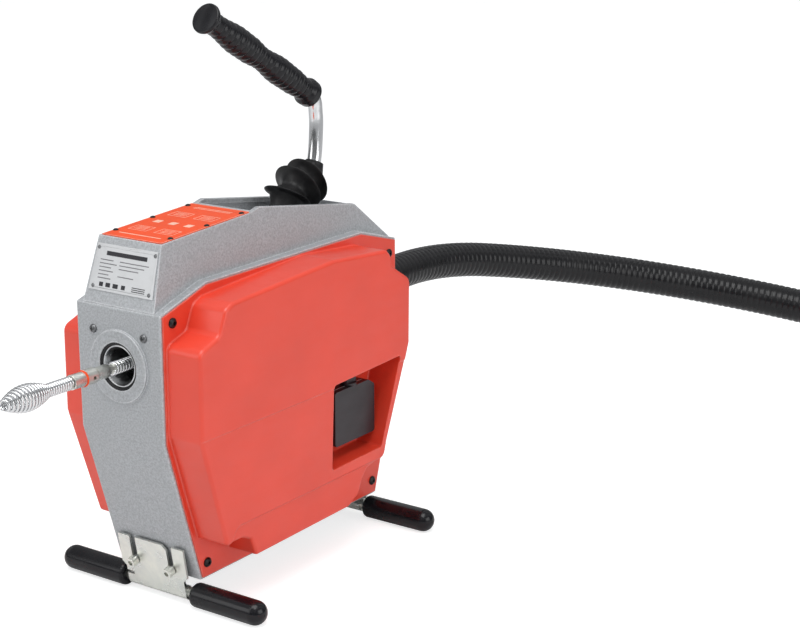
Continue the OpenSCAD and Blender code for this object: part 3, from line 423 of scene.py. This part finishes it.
def room_beside(edge, sharp):
    """Least free distance from an edge, across its two faces, to another sharp edge."""
    a, b = edge.verts[0].co, edge.verts[1].co
    along = (b - a).normalized()
    room = 1.0
    for face in edge.link_faces:
        loop = next(x for x in face.loops if x.edge == edge)
        forward = (loop.link_loop_next.vert.co - loop.vert.co).dot(along) > 0
        inward = face.normal.cross(along) * (1 if forward else -1)
        for other in face.edges:
            if other == edge or other not in sharp:
                continue
            for p in (a, (a + b) / 2, b):
                gap = nearest_on(other.verts[0].co, other.verts[1].co, p) - p
                across = gap.dot(inward)
                if across > 0.7 * gap.length:
                    room = min(room, across)
    return room


def rounded_piece(bm, node, name, width_of):
    """Turns a copy into the piece that stands for its node. Sharp edges are rounded by width_of(edge)."""
    sharp = {e for e in bm.edges if len(e.link_faces) == 2 and e.calc_face_angle(0) > math.radians(26)}
    width = {e: min(width_of(e), 0.42 * room_beside(e, sharp)) for e in sharp}
    for _ in range(3):
        width = {e: min([w] + [width[n] * 1.3 for v in e.verts for n in v.link_edges if n in sharp])
                 for e, w in width.items()}
    widths = [width.get(e, 0.0) for e in bm.edges]
    widest = max(widths)
    mesh = bpy.data.meshes.new(name)
    bm.to_mesh(mesh)
    bm.free()
    mesh.shade_smooth()
    weights = mesh.attributes.new("bevel_weight_edge", "FLOAT", "EDGE")
    weights.data.foreach_set("value", np.array(widths, np.float32) / widest)
    obj = bpy.data.objects.new(name, mesh)
    bpy.context.scene.collection.objects.link(obj)
    finish_with(obj, node_slots[node])
    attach(obj, nodes[node]["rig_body"])
    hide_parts(node)
    bevel = obj.modifiers.new("round", "BEVEL")
    bevel.width = widest
    bevel.segments = 3
    bevel.limit_method = "WEIGHT"
    bevel.use_clamp_overlap = False
    bevel.miter_outer = "MITER_ARC"
    weighted = obj.modifiers.new("even_shading", "WEIGHTED_NORMAL")
    weighted.weight = 60
    return obj


def soften(obj, width):
    """Rounded edges on a CAD node by modifiers, with its own mesh left alone."""
    weld = obj.modifiers.new("weld", "WELD")
    weld.merge_threshold = 2e-6
    bevel = obj.modifiers.new("round", "BEVEL")
    bevel.width = width
    bevel.segments = 2
    bevel.limit_method = "ANGLE"
    bevel.angle_limit = math.radians(28)
    bevel.use_clamp_overlap = True
    bevel.miter_outer = "MITER_ARC"
    weighted = obj.modifiers.new("even_shading", "WEIGHTED_NORMAL")
    weighted.weight = 60


# ---------------------------------------------------------------- covers


def corner_rounds(points, radius):
    """Each corner of an anticlockwise outline as a round: centre, radius, sense, two outward directions."""
    pts = [Vector(p) for p in points]
    rounds = []
    for before, here, after in zip(pts[-1:] + pts[:-1], pts, pts[1:] + pts[:1]):
        a, b = here - before, after - here
        shortest = min(a.length, b.length)
        a.normalize()
        b.normalize()
        out_a, out_b = Vector((a.y, -a.x)), Vector((b.y, -b.x))
        sense = 1 if a.x * b.y - a.y * b.x > 0 else -1
        spread = 1 + out_a.dot(out_b)
        half_turn = math.tan(math.acos(max(-1.0, min(1.0, out_a.dot(out_b)))) / 2)
        r = min(radius, 0.45 * shortest / half_turn)
        rounds.append((here - (out_a + out_b) / spread * (r * sense), r, sense, out_a, out_b))
    return rounds


def outline_ring(rounds, inset, steps=6):
    """Points of a rounded outline moved inwards by inset."""
    ring = []
    for centre, r, sense, out_a, out_b in rounds:
        reach = max(0.05, r - sense * inset)
        for k in range(steps + 1):
            ring.append(centre + out_a.slerp(out_b, k / steps) * (sense * reach))
    return ring


def stacked(side, points, radius, levels):
    """Closed mesh through one outline at several levels, each an (inset, x) pair in millimetres."""
    rounds = corner_rounds(points, radius)
    verts = []
    for inset, x in levels:
        verts += [above_floor(side * x, y, h) for y, h in outline_ring(rounds, inset)]
    faces = grid_faces(len(levels), len(verts) // len(levels))
    return verts, faces


def merged(parts):
    """Several closed meshes as one."""
    verts, faces = [], []
    for part_verts, part_faces in parts:
        faces += [tuple(len(verts) + k for k in f) for f in part_faces]
        verts += part_verts
    return verts, faces


def cut_block(verts, faces):
    """A hidden working object with its faces turned outwards, for joining and cutting."""
    mesh = bpy.data.meshes.new("working")
    mesh.from_pydata([tuple(v) for v in verts], [], faces)
    bm = bmesh.new()
    bm.from_mesh(mesh)
    bmesh.ops.recalc_face_normals(bm, faces=bm.faces[:])
    bm.to_mesh(mesh)
    bm.free()
    obj = bpy.data.objects.new("working", mesh)
    bpy.context.scene.collection.objects.link(obj)
    return obj


def combine(obj, operation, other):
    """Joins or cuts obj with other, and removes other."""
    step = obj.modifiers.new(operation, "BOOLEAN")
    step.operation = operation
    step.solver = "EXACT"
    step.object = other
    bpy.context.view_layer.update()
    made = bpy.data.meshes.new_from_object(obj.evaluated_get(bpy.context.evaluated_depsgraph_get()))
    obj.modifiers.clear()
    obj.data = made
    bpy.data.objects.remove(other)


def stand_in(obj, name, node, sharp_degrees, slot_name=None):
    """Names and finishes a built object, puts it on its node's body and lets it replace the node."""
    obj.name = name
    obj.data.name = name
    obj.data.shade_smooth()
    obj.data.set_sharp_from_angle(angle=math.radians(sharp_degrees))
    finish_with(obj, slot_name or node_slots[node])
    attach(obj, nodes[node]["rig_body"])
    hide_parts(node)


def quarter(steps=6):
    """Sine and cosine along a quarter turn."""
    return [(math.sin(a), math.cos(a)) for a in np.linspace(0, math.pi / 2, steps + 1)]


casting_lo, casting_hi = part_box("frame_casting")
depth = casting_hi.y / mm
base_h = (casting_lo.z - floor_z) / mm

# Outlines of a cover's parts, as distance behind the nose and height above the floor, in millimetres
block_outline = [
    (49, 91), (60, 91), (69, 108), (364, 108), (370, 131), (416, 253), (417, 338), (377, 362),
    (375, 376), (366, 385), (255, 393), (66, 381), (53, 375), (41, 347), (7, 335), (6, 229),
]
skirt_outline = [
    (57, 91), (80, 91), (95, 85), (105, 60), (290, 62), (311, 72), (319, 91), (329, 103), (360, 109),
    (360, 126), (57, 126),
]
pocket_outline = [(251, 124), (357, 125.5), (396, 239.5), (253, 234.5)]
front_foot_y, rear_foot_y = 54, depth - 48
flange_outline = [
    (front_foot_y, base_h), (rear_foot_y, base_h), (depth, 198), (depth, 378),
    (380, 399), (78, 395), (0, 371), (0, 219),
]
block_round, skirt_round, pocket_round, flange_round = 12, 6, 4, 3
flange_inset = 3
screw_places = [(17.9, 360.2), (63.9, 56.1), (front_foot_y + rear_foot_y - 63.9, 56.1), (depth - 17.9, 360.2)]
screw_hole_r = 3.3
vent_starts = range(130, 271, 14)
vent_width, vent_low, vent_high, vent_round = 6, 140, 194, 2.5
flange_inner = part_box("right_cover")[0].x / mm
flange_face = 66.25
cover_wall = 3
pocket_depth = 45
pocket_floor_r = 2
skirt_step = 2.5
skirt_low = 60
crease_h = 232
crease_band = 1.6
crease_step = 1.0
clear = 5  # how far a cutting shape runs past the face that it cuts


def raised(side, outline, corner_r, top, edge_r, root_r):
    """One raised part of a cover: a coved root, a straight wall and a rounded top edge."""
    levels = [(-root_r, flange_face - 0.7)]
    levels += [(-root_r + root_r * s, flange_face + root_r - root_r * c) for s, c in quarter(4)]
    levels += [(edge_r - edge_r * c, top - edge_r + edge_r * s) for s, c in quarter()]
    return cut_block(*stacked(side, outline, corner_r, levels))


def hollow(side, outline, corner_r, top):
    """The space behind one raised part, which leaves the cover's wall."""
    levels = [(cover_wall, flange_inner - clear), (cover_wall, top - cover_wall)]
    return cut_block(*stacked(side, outline, corner_r, levels))


def vents(side, top, lip=0.8):
    """Cooling slots with a small chamfer round each mouth."""
    levels = [(0, top - cover_wall - clear), (0, top - lip), (-lip, top), (-lip, top + clear)]
    slots = []
    for y in vent_starts:
        end = y + vent_width
        outline = [(y, vent_low), (end, vent_low), (end, vent_high), (y, vent_high)]
        slots.append(stacked(side, outline, vent_round, levels))
    return slots


def screw_holes(side):
    """Round holes through the flange."""
    holes = []
    for y, h in screw_places:
        turn = np.linspace(0, 2 * math.pi, 24, False)
        ring = [(y + screw_hole_r * math.cos(a), h + screw_hole_r * math.sin(a)) for a in turn]
        holes.append(stacked(side, ring, 0.3, [(0, flange_inner - clear), (0, flange_face + clear)]))
    return holes


def add_pocket(shell, side, top, mouth_r=1.3):
    """A walled pocket with a coved floor and a rounded mouth, for the switch."""
    floor_x = top - pocket_depth
    levels = [(-cover_wall, floor_x - cover_wall), (-cover_wall, top - cover_wall / 2)]
    combine(shell, "UNION", cut_block(*stacked(side, pocket_outline, pocket_round, levels)))
    cove = [(pocket_floor_r * (1 - s), floor_x + pocket_floor_r * (1 - c)) for s, c in quarter(4)]
    mouth = [(mouth_r * (c - 1), top + mouth_r * (s - 1)) for s, c in quarter(4)]
    levels = cove + mouth + [(-mouth_r, top + clear)]
    combine(shell, "DIFFERENCE", cut_block(*stacked(side, pocket_outline, pocket_round, levels)))


def lean_lower_half(bm, side, top, lean=4.0):
    """Below a crease the cover's wall steps in a little and leans inwards, more towards the floor."""
    crease_z = above_floor(0, 0, crease_h).z
    for z in (crease_z, crease_z - crease_band * mm):
        everything = bm.verts[:] + bm.edges[:] + bm.faces[:]
        bmesh.ops.bisect_plane(bm, geom=everything, plane_co=(0, 0, z), plane_no=(0, 0, 1))
    for v in bm.verts:
        share = (abs(v.co.x) / mm - flange_inner) / (top - flange_inner)
        below = (crease_z - v.co.z) / mm
        if share > 0.3 and below > 0:
            slope = lean * below / (crease_h - skirt_low)
            v.co.x -= side * share * (slope + crease_step * min(1, below / crease_band)) * mm


def cover(node, side, with_pocket, edge_r=4.8, root_r=2.2):
    """Moulded cover: a flange, a raised block and a lower skirt, with a switch pocket or cooling slots."""
    lo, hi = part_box(node)
    top = max(abs(lo.x), abs(hi.x)) / mm
    flange = [(0, flange_inner), (0, flange_face - 0.5), (0.5, flange_face)]
    flange = [(flange_inset + inset, x) for inset, x in flange]
    shell = cut_block(*stacked(side, flange_outline, flange_round, flange))
    combine(shell, "UNION", raised(side, block_outline, block_round, top, edge_r, root_r))
    combine(shell, "UNION", raised(side, skirt_outline, skirt_round, top - skirt_step, edge_r, root_r))
    combine(shell, "DIFFERENCE", hollow(side, block_outline, block_round, top))
    combine(shell, "DIFFERENCE", hollow(side, skirt_outline, skirt_round, top - skirt_step))
    if with_pocket:
        add_pocket(shell, side, top)
    else:
        combine(shell, "DIFFERENCE", cut_block(*merged(vents(side, top))))
    combine(shell, "DIFFERENCE", cut_block(*merged(screw_holes(side))))

    bm = bmesh.new()
    bm.from_mesh(shell.data)
    lean_lower_half(bm, side, top)
    bmesh.ops.remove_doubles(bm, verts=bm.verts[:], dist=1e-6)
    bm.to_mesh(shell.data)
    bm.free()
    stand_in(shell, node + "_shell", node, 24)
    weighted = shell.modifiers.new("even_shading", "WEIGHTED_NORMAL")
    weighted.weight = 60
    weighted.keep_sharp = True


cover("right_cover", 1, True)
cover("left_cover", -1, False)

# ---------------------------------------------------------------- casting


def casting_width(e):
    """Wide rounds on the long outer edges, fine ones round holes and bosses."""
    length = e.calc_length()
    return 2.2 * mm if length > 14 * mm else 0.6 * mm


rounded_piece(clean_copy("frame_casting"), "frame_casting", "frame_casting_shell", casting_width)

# ---------------------------------------------------------------- guide hose

hose_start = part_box("guide_hose")[0].y
hose_straight = 0.105
# Bends of the hose: radius, angle, and roll about its own direction, in metres and degrees
hose_bends = [(0.420, 22.5, 26.0), (0.510, 62.0, -21.5)]
hose_step = 0.0011
valley_r, rib_h, rib_pitch = 0.0235, 0.0013, 0.009


def hose_centreline():
    """Straight stretch and two arcs, each bent sideways after a roll about its own direction."""
    place = Matrix.Translation((0, hose_start, 0))
    out = [place @ Vector((0, s, 0)) for s in np.arange(0, hose_straight, hose_step)]
    place = place @ Matrix.Translation((0, hose_straight, 0))
    for radius, angle, roll in hose_bends:
        place = place @ Matrix.Rotation(math.radians(roll), 4, "Y")
        turn = math.radians(angle)
        for s in np.arange(0, turn * radius, hose_step):
            a = s / radius
            out.append(place @ Vector((radius * (1 - math.cos(a)), radius * math.sin(a), 0)))
        place = place @ Matrix.Translation((radius * (1 - math.cos(turn)), radius * math.sin(turn), 0))
        place = place @ Matrix.Rotation(-turn, 4, "Z")
    out.append(place @ Vector((0, 0, 0)))
    return out


def hose_radius(s, angle):
    """Helical rib: a round crest and a narrow valley."""
    phase = (s / rib_pitch + angle / (2 * math.pi)) % 1.0
    crest = abs(math.sin(math.pi * phase)) ** 0.5
    return valley_r + rib_h * crest


verts, faces = sweep(hose_centreline(), hose_radius, 44)
guide_hose = new_piece("guide_hose_ribbed", verts, faces, "hose_black", "frame")
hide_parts("guide_hose")

# ---------------------------------------------------------------- drain spiral


def helix(radius_at, wire_r, pitch_at, y0, y1, steps=26, sides=9):
    """Round wire coiled about the spindle axis from y0 towards y1."""
    direction = 1 if y1 > y0 else -1
    points, y, a = [], y0, 0.0
    while (y1 - y) * direction > 0:
        r = radius_at(y)
        points.append((r * math.cos(a), y, -r * math.sin(a) * direction))
        a += 2 * math.pi / steps
        y += direction * pitch_at(y) / steps
    pts = np.array(points)
    tangents = np.gradient(pts, axis=0)
    tangents /= np.linalg.norm(tangents, axis=1)[:, None]
    verts = []
    for p, t in zip(pts, tangents):
        out = np.array([p[0], 0.0, p[2]])
        out /= np.linalg.norm(out)
        out -= t * (out @ t)
        out /= np.linalg.norm(out)
        across = np.cross(t, out)
        for j in range(sides):
            b = 2 * math.pi * j / sides
            verts.append(p + (out * math.cos(b) + across * math.sin(b)) * wire_r)
    return verts, grid_faces(len(pts), sides)


cable_lo, cable_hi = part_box("spiral_cable")
spiral_r = cable_hi.x
wire_r, coil_pitch = 0.0015, 0.0046
verts, faces = helix(lambda y: spiral_r - wire_r, wire_r, lambda y: coil_pitch, cable_lo.y, cable_hi.y, 20, 7)
cable = new_piece("spiral_coils", verts, faces, "chrome", "spiral")
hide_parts("spiral_cable")

auger_lo, auger_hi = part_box("auger_head")
auger_wire = 0.0017
neck_l = 0.036
neck_y = auger_hi.y - neck_l
tip_r, bulb_rise = 0.0035, 0.009
neck_pitch, bulb_pitch = 0.0036, 0.0046


def auger_radius(y):
    """Radius of the coils: level along the neck, then a bulb that narrows to the tip."""
    t = max(0.0, (neck_y - y) / (neck_y - auger_lo.y))
    straight = spiral_r - auger_wire
    return straight + (tip_r - straight) * t + bulb_rise * math.sin(math.pi * t)


def auger_pitch(y):
    """Close coils on the neck that open out over the first part of the bulb."""
    return neck_pitch + (bulb_pitch - neck_pitch) * min(1.0, max(0.0, (neck_y - y) / 0.02))


auger_span = (auger_hi.y - auger_wire, auger_lo.y + auger_wire)
verts, faces = helix(auger_radius, auger_wire, auger_pitch, *auger_span, 28, 10)
auger = new_piece("auger_coils", verts, faces, "chrome", "spiral")
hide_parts("auger_head")

# ---------------------------------------------------------------- lever

rod_r = 0.009
# Rod: straight up from the pivot, a bend to the rear inside the bellows, then upright to the grip
rod_path = [
    (284.5, 405.8), (291.5, 418.1), (298.5, 430.4), (304.6, 439.2), (313.5, 445.2), (332, 454.7),
    (349, 463.3), (360, 473), (367.5, 488), (371.5, 518), (372, 546), (364, 571),
]
grip_root = above_floor(0, 364, 571)
grip_tip = above_floor(0, 164, 683.4)
grip_axis = (grip_tip - grip_root).normalized()
rod_points = [above_floor(0, y, h) for y, h in rod_path]
rod_points += [grip_root + grip_axis * d for d in (0.05, 0.149)]
verts, faces = sweep(smooth_path(rod_points, 0.003), lambda s, a: rod_r, 36)
rod = new_piece("lever_rod_bent", verts, faces, "chrome", "lever")
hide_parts("lever_rod")

grip_l = (grip_tip - grip_root).length
neck_r = 0.0138
swell = eased([
    (0.0, 0.0130), (0.004, 0.0176), (0.013, 0.0181), (0.020, 0.0146), (0.050, 0.0170), (0.078, 0.0178),
    (0.114, 0.0146), (0.142, 0.0172), (0.166, 0.0176), (0.208, neck_r), (grip_l, neck_r),
])
ridges_from, ridges_to, ridge_fade = 0.018, 0.209, 0.004
ridge_pitch, ridge_depth = 0.0104, 0.0021


def grip_radius(d):
    """Two swells with rounded finger ridges between a collar and a flared end."""
    fade_in = min(1.0, max(0.0, (d - ridges_from) / ridge_fade))
    fade_out = min(1.0, max(0.0, (ridges_to - d) / ridge_fade))
    ridge = abs(math.sin(math.pi * (d - ridges_from) / ridge_pitch)) ** 0.6
    return swell(d) - ridge_depth * fade_in * fade_out * (1 - ridge)


# Flared end of the grip: radius, and distance back from the tip
flare_l = 0.0125
flare = [
    (0.0142, 0.0120), (0.0154, 0.0095), (0.0180, 0.0060), (0.0190, 0.0034), (0.0188, 0.0012),
    (0.0176, 0.0001), (0.0160, 0.0006), (0.0060, 0.0016), (0.0001, 0.0018),
]
profile = [(rod_r + 0.0005, -0.0005), (0.0118, 0.0)]
profile += [(grip_radius(d), d) for d in np.arange(0.0008, grip_l - flare_l, 0.0008)]
profile += [(r, grip_l - back) for r, back in flare]
verts, faces = lathe(profile, grip_root, grip_axis, 56)
grip = new_piece("lever_grip_ribbed", verts, faces, "gloss_vinyl", "lever")
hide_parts("lever_grip")

# Rings of the bellows: y and height of the middle, tilt towards the rear in degrees, radius
bellows_folds = [(311, 450, 33, 31.0), (333, 458.5, 60, 34.0), (351, 463.5, 69, 32.0)]
bellows_start = [
    (298, 421, 0, 25.0), (298, 425, 2, 25.5), (299, 429.5, 6, 21.5), (301, 435, 14, 17.5),
    (304, 441, 22, 17.5),
]
bellows_end = [
    (361, 471, 62, 17.0), (365, 476.5, 42, 13.5), (367, 481.0, 32, 12.2), (368.0, 485.0, 28, 11.8),
    (368.1, 485.6, 28, 9.0),
]
# A fold's section: part of the way to the next fold, and radius for a fold of radius 31
rim_r = 31.0
fold_half = [(0.16, 21.5), (0.10, 24.5), (0.045, 29.0), (0.02, 30.6)]
fold_steps = [(-t, r) for t, r in fold_half] + [(0.0, rim_r)] + fold_half[::-1]
waist_steps = [(-0.17, 18.0), (0.0, 16.5), (0.17, 18.0)]


def bellows_stations():
    """Rings up the bellows: a base collar, three sharp folds with narrow waists between them, and a neck."""
    out = list(bellows_start)
    folds = [np.array(f, float) for f in bellows_folds]
    for i, fold in enumerate(folds):
        ahead = folds[i + 1] if i + 1 < len(folds) else fold + (folds[i] - folds[i - 1])
        back = folds[i - 1] if i else fold - (folds[1] - folds[0])
        for t, r in fold_steps:
            ring = fold + (ahead - fold) * t if t > 0 else fold + (fold - back) * t
            ring[3] = r * fold[3] / rim_r
            out.append(tuple(ring))
        if i + 1 < len(folds):
            for t, r in waist_steps:
                ring = (fold + ahead) / 2 + (ahead - fold) * t
                ring[3] = r
                out.append(tuple(ring))
    return out + bellows_end


def bellows_mesh(rings, sides=56):
    """Skin through tilted rings, with the spaces between them filled smoothly."""
    table = np.array(rings, float)
    fine = []
    for a, b in zip(table, table[1:]):
        for t in (0.0, 0.5):
            fine.append(a + (b - a) * t)
    fine.append(table[-1])
    verts = []
    for y, h, tilt, r in fine:
        centre = above_floor(0, y, h)
        back = Vector((0, math.cos(math.radians(tilt)), -math.sin(math.radians(tilt))))
        for j in range(sides):
            a = 2 * math.pi * j / sides
            verts.append(centre + (Vector((1, 0, 0)) * math.cos(a) + back * math.sin(a)) * r * mm)
    faces = grid_faces(len(fine), sides)
    return verts, faces


verts, faces = bellows_mesh(bellows_stations())
bellows = new_piece("bellows_folds", verts, faces, "black_rubber", None)
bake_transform(bellows)
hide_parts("bellows")

# ---------------------------------------------------------------- print on the two plates, and a painted highlight round the label


def face_frame(node, toward):
    """Centre, right, up and outward directions of a plate's broad face on the side that faces toward."""
    toward = Vector(toward)
    faces = [p for p in nodes[node].data.polygons if p.normal.dot(toward) > 0.8]
    area = sum(p.area for p in faces)
    normal = sum((p.normal * p.area for p in faces), Vector()).normalized()
    level = sum((p.center * p.area for p in faces), Vector()) / area
    lo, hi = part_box(node)
    middle = (lo + hi) / 2
    centre = middle - normal * (middle - level).dot(normal)
    right = Vector((1, 0, 0))
    return centre, right, normal.cross(right), normal


def printed_marks(name, plane, rects, finish, thick=0.00006):
    """Thin raised strips of print and of painted highlight: rects are (u0, v0, u1, v1) in millimetres from
    the plate's middle.
    """
    centre, right, up, normal = plane
    verts, faces = [], []
    for u0, v0, u1, v1 in rects:
        base = len(verts)
        for lift in (0.00001, thick):
            for u, v in ((u0, v0), (u1, v0), (u1, v1), (u0, v1)):
                verts.append(centre + right * (u * mm) + up * (v * mm) + normal * lift)
        faces += [tuple(base + k for k in f) for f in
                  ((3, 2, 1, 0), (4, 5, 6, 7), (0, 1, 5, 4), (1, 2, 6, 5), (2, 3, 7, 6), (3, 0, 4, 7))]
    piece = new_piece(name, verts, faces, "orange_label", "frame", smooth=False)
    piece.data.materials[0] = finish
    return piece


def frame_rects(w, h, t):
    """Four strips round a w by h rectangle."""
    return [(-w / 2, -h / 2, w / 2, -h / 2 + t), (-w / 2, h / 2 - t, w / 2, h / 2),
            (-w / 2, -h / 2 + t, -w / 2 + t, h / 2 - t), (w / 2 - t, -h / 2 + t, w / 2, h / 2 - t)]


pale_ink_and_highlight = printed("ink_and_highlight_pale", (0.90, 0.52, 0.40))
dark_ink = printed("ink_dark", (0.03, 0.03, 0.035))
grey_ink = printed("ink_grey", (0.20, 0.20, 0.21))

deck = face_frame("label_plate", (0, 0, 1))
symbols = [(-24, -6), (0, -6), (24, -6)]
# The four pale strips along the label's edge are a painted highlight of the casting's rim; the other marks
# are print.
marks = frame_rects(91, 155, 0.7) + [(-32, -64, 32, -62), (-28, 60, 30, 61.2), (-28, 64, 30, 65.2)]
for u, v in symbols:
    marks += [(u - 5, v - 5, u + 5, v + 5)]
for u, v in ((-20, -38), (20, -38), (-20, 30), (20, 30)):
    marks += [(u - 14 + a, v - 9 + b, u - 14 + c, v - 9 + d) for a, b, c, d in
              ((0, 0, 28, 0.8), (0, 17.2, 28, 18), (0, 0.8, 0.8, 17.2), (27.2, 0.8, 28, 17.2))]
    marks += [(u - 9, v - 4 + k * 4, u + 9, v - 3 + k * 4) for k in range(3)]
printed_marks("label_marks", deck, marks, pale_ink_and_highlight)

plate = face_frame("name_plate", (0, -1, 0))
printed_marks("name_plate_heading", plate, [(-30, 14, 32, 19)], dark_ink)
rows = [(-38, 8 - 4.2 * k, -38 + w, 9.2 - 4.2 * k) for k, w in enumerate((20, 26, 18, 22, 16, 20))]
rows += [(-8, 8 - 4.2 * k, -8 + w, 9.2 - 4.2 * k) for k, w in enumerate((44, 38, 30, 0.1, 24, 0.1)) if w > 1]
printed_marks("name_plate_rows", plate, rows, grey_ink)
blocks = [(u0, -22, u1, -17) for u0, u1 in ((-34, -28), (-24, -17), (-13, -5), (0, 6))]
blocks += [(16, -18 - 2.2 * k, 36, -17 - 2.2 * k) for k in range(3)]
printed_marks("name_plate_blocks", plate, blocks, dark_ink)

# ---------------------------------------------------------------- painted highlight on the switch, and spiral coupling

box_lo, box_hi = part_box("switch_housing")
# Painted highlight: a thin silver strip on top of the switch box stands for the light line along its edge.
box_piece("switch_highlight_strip", (box_hi.x - 9 * mm, box_lo.y + 4 * mm, box_hi.z - 0.05 * mm),
          (box_hi.x - 8 * mm, box_hi.y - 16 * mm, box_hi.z + 0.35 * mm), "plate_silver", "frame", 0.1 * mm)

# Coupling from its tip to its tail: pilot, shank, collar with a release hole, groove, ferrule and stub
coupling_lo, coupling_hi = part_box("spiral_coupling")
pilot_r, shank_r, collar_r, groove_r, ferrule_r, stub_r = 0.0040, 0.0086, 0.0095, 0.0070, 0.0079, 0.0054
shank_y, collar_y, ferrule_end = -0.0780, -0.058, -0.0210
turned = [
    (0.0001, coupling_lo.y), (pilot_r, coupling_lo.y), (pilot_r, shank_y - 0.001), (0.0050, shank_y),
    (0.0080, shank_y), (shank_r, shank_y + 0.0006), (shank_r, collar_y), (collar_r, collar_y + 0.0005),
    (collar_r, collar_y + 0.0155), (0.0089, collar_y + 0.0162), (groove_r, collar_y + 0.0164),
    (groove_r, collar_y + 0.0178), (0.0078, collar_y + 0.0182), (ferrule_r, ferrule_end - 0.0025),
    (0.0074, ferrule_end - 0.0005), (stub_r, ferrule_end), (stub_r, coupling_hi.y), (0.0001, coupling_hi.y),
]
coupling = cut_block(*lathe(turned, (0, 0, 0), (0, 1, 0), 56))
hole_r = 0.0021
release_hole = lathe([(hole_r, -0.02), (hole_r, 0.02)], (0, collar_y + 0.009, 0), (1, 0, 0), 24)
combine(coupling, "DIFFERENCE", cut_block(*release_hole))
stand_in(coupling, "coupling_turned", "spiral_coupling", 30, "zinc")

ring_l = 0.0020
ring_profile = [(shank_r, 0.0), (0.0096, 0.0001), (0.0099, ring_l / 2), (0.0096, 0.0019), (shank_r, ring_l)]
verts, faces = lathe(ring_profile, (0, collar_y - 0.0022, 0), (0, 1, 0), 48)
new_piece("coupling_ring", verts, faces, "orange_label", "spiral")

# ---------------------------------------------------------------- finishes on the CAD nodes that stay

edge_widths = {
    "switch_housing": 1.2, "switch_knob": 0.8, "foot_brackets": 0.6, "label_plate": 0.25,
    "name_plate": 0.25, "spindle": 0.4, "hose_adapter": 0.8, "hose_clamp": 0.25, "hose_cuff": 1.0,
    "foot_screws": 0.5, "cover_screws": 0.3, "bellows_clamp": 0.5, "cord_gland": 0.6,
}
for node, obj in nodes.items():
    finish_with(obj, node_slots[node])
for node in ("name_plate_rivets", "nose_screws"):
    finish_with(nodes[node], "dark_steel")
for node, width in edge_widths.items():
    soften(nodes[node], width * mm)

# ---------------------------------------------------------------- floor, lights, camera

reach = 12.0
floor_glow = 0.72
floor_mesh = bpy.data.meshes.new("floor")
corners = [(-reach, -reach), (reach, -reach), (reach, reach), (-reach, reach)]
floor_mesh.from_pydata([(x, y, floor_z) for x, y in corners], [], [(0, 1, 2, 3)])
floor = bpy.data.objects.new("floor", floor_mesh)
bpy.context.scene.collection.objects.link(floor)
pale = Nodes("floor_pale")
pale.set(Base_Color=pale.mix(pale.camera_rays(), (0.86, 0.86, 0.86), (0.52, 0.53, 0.53)))
pale.set(Roughness=0.8, Specular_IOR_Level=0.1, Emission_Color=(1.0, 1.0, 1.0))
pale.set(Emission_Strength=pale.math("MULTIPLY", pale.camera_rays(), floor_glow))
floor.data.materials.append(pale.mat)

scene = bpy.context.scene
world = bpy.data.worlds.new("studio")
scene.world = world
world.use_nodes = True
tree = world.node_tree
background = tree.nodes["Background"]
background.inputs["Color"].default_value = (0.97, 0.98, 1.0, 1)


def world_ramp(value, low, high, a, b):
    """A soft step from a to b as value goes from low to high."""
    node = tree.nodes.new("ShaderNodeMapRange")
    node.interpolation_type = "SMOOTHSTEP"
    for name, v in (("From Min", low), ("From Max", high), ("To Min", a), ("To Max", b)):
        node.inputs[name].default_value = v
    tree.links.new(value, node.inputs["Value"])
    return node.outputs["Result"]


# The surroundings grow brighter upwards in soft panels, and are white where the camera sees them
direction = tree.nodes.new("ShaderNodeTexCoord").outputs["Generated"]
height = tree.nodes.new("ShaderNodeSeparateXYZ")
tree.links.new(direction, height.inputs["Vector"])
panels = tree.nodes.new("ShaderNodeTexWave")
panels.inputs["Scale"].default_value = 0.9
panels.inputs["Distortion"].default_value = 1.5
tree.links.new(direction, panels.inputs["Vector"])
product = tree.nodes.new("ShaderNodeMath")
product.operation = "MULTIPLY"
tree.links.new(world_ramp(height.outputs["Z"], -0.1, 0.75, 0.16, 0.78), product.inputs[0])
tree.links.new(world_ramp(panels.outputs["Fac"], 0.25, 0.75, 0.45, 1.15), product.inputs[1])
brightest = tree.nodes.new("ShaderNodeMath")
brightest.operation = "MAXIMUM"
tree.links.new(product.outputs[0], brightest.inputs[0])
tree.links.new(tree.nodes.new("ShaderNodeLightPath").outputs["Is Camera Ray"], brightest.inputs[1])
tree.links.new(brightest.outputs[0], background.inputs["Strength"])


def area_light(name, place, target, size, power):
    """A soft rectangular light that points at target."""
    data = bpy.data.lights.new(name, "AREA")
    data.shape = "RECTANGLE"
    data.size, data.size_y = size
    data.energy = power
    light = bpy.data.objects.new(name, data)
    light.location = place
    light.rotation_euler = (Vector(target) - Vector(place)).to_track_quat("-Z", "Y").to_euler()
    scene.collection.objects.link(light)


middle = (0.05, 0.25, -0.05)
area_light("key_above", (0.3, -0.5, 2.4), middle, (2.2, 1.6), 40)
area_light("side_fill", (2.6, 0.2, 0.7), middle, (1.8, 1.4), 18)
area_light("front_fill", (-1.4, -2.4, 0.9), middle, (1.6, 1.4), 13)
area_light("spark_above", (0.9, -0.9, 1.7), middle, (0.22, 0.22), 2.2)
area_light("spark_left", (-0.6, -1.6, 1.5), middle, (0.22, 0.22), 1.6)

camera = bpy.data.objects.new("camera", bpy.data.cameras.new("camera"))
camera.data.sensor_width = 36
camera.data.lens = 77.56
camera.location = (1.3345, -1.3636, 0.5677)
look = Vector((-0.5503, 0.7933, -0.2607))
right = Vector((0.8217, 0.570, 0))
up = Vector((-0.1486, 0.2142, 0.9654))
camera.rotation_euler = Matrix((right, up, -look)).transposed().to_euler()
scene.collection.objects.link(camera)
scene.camera = camera
scene.view_settings.view_transform = "Standard"
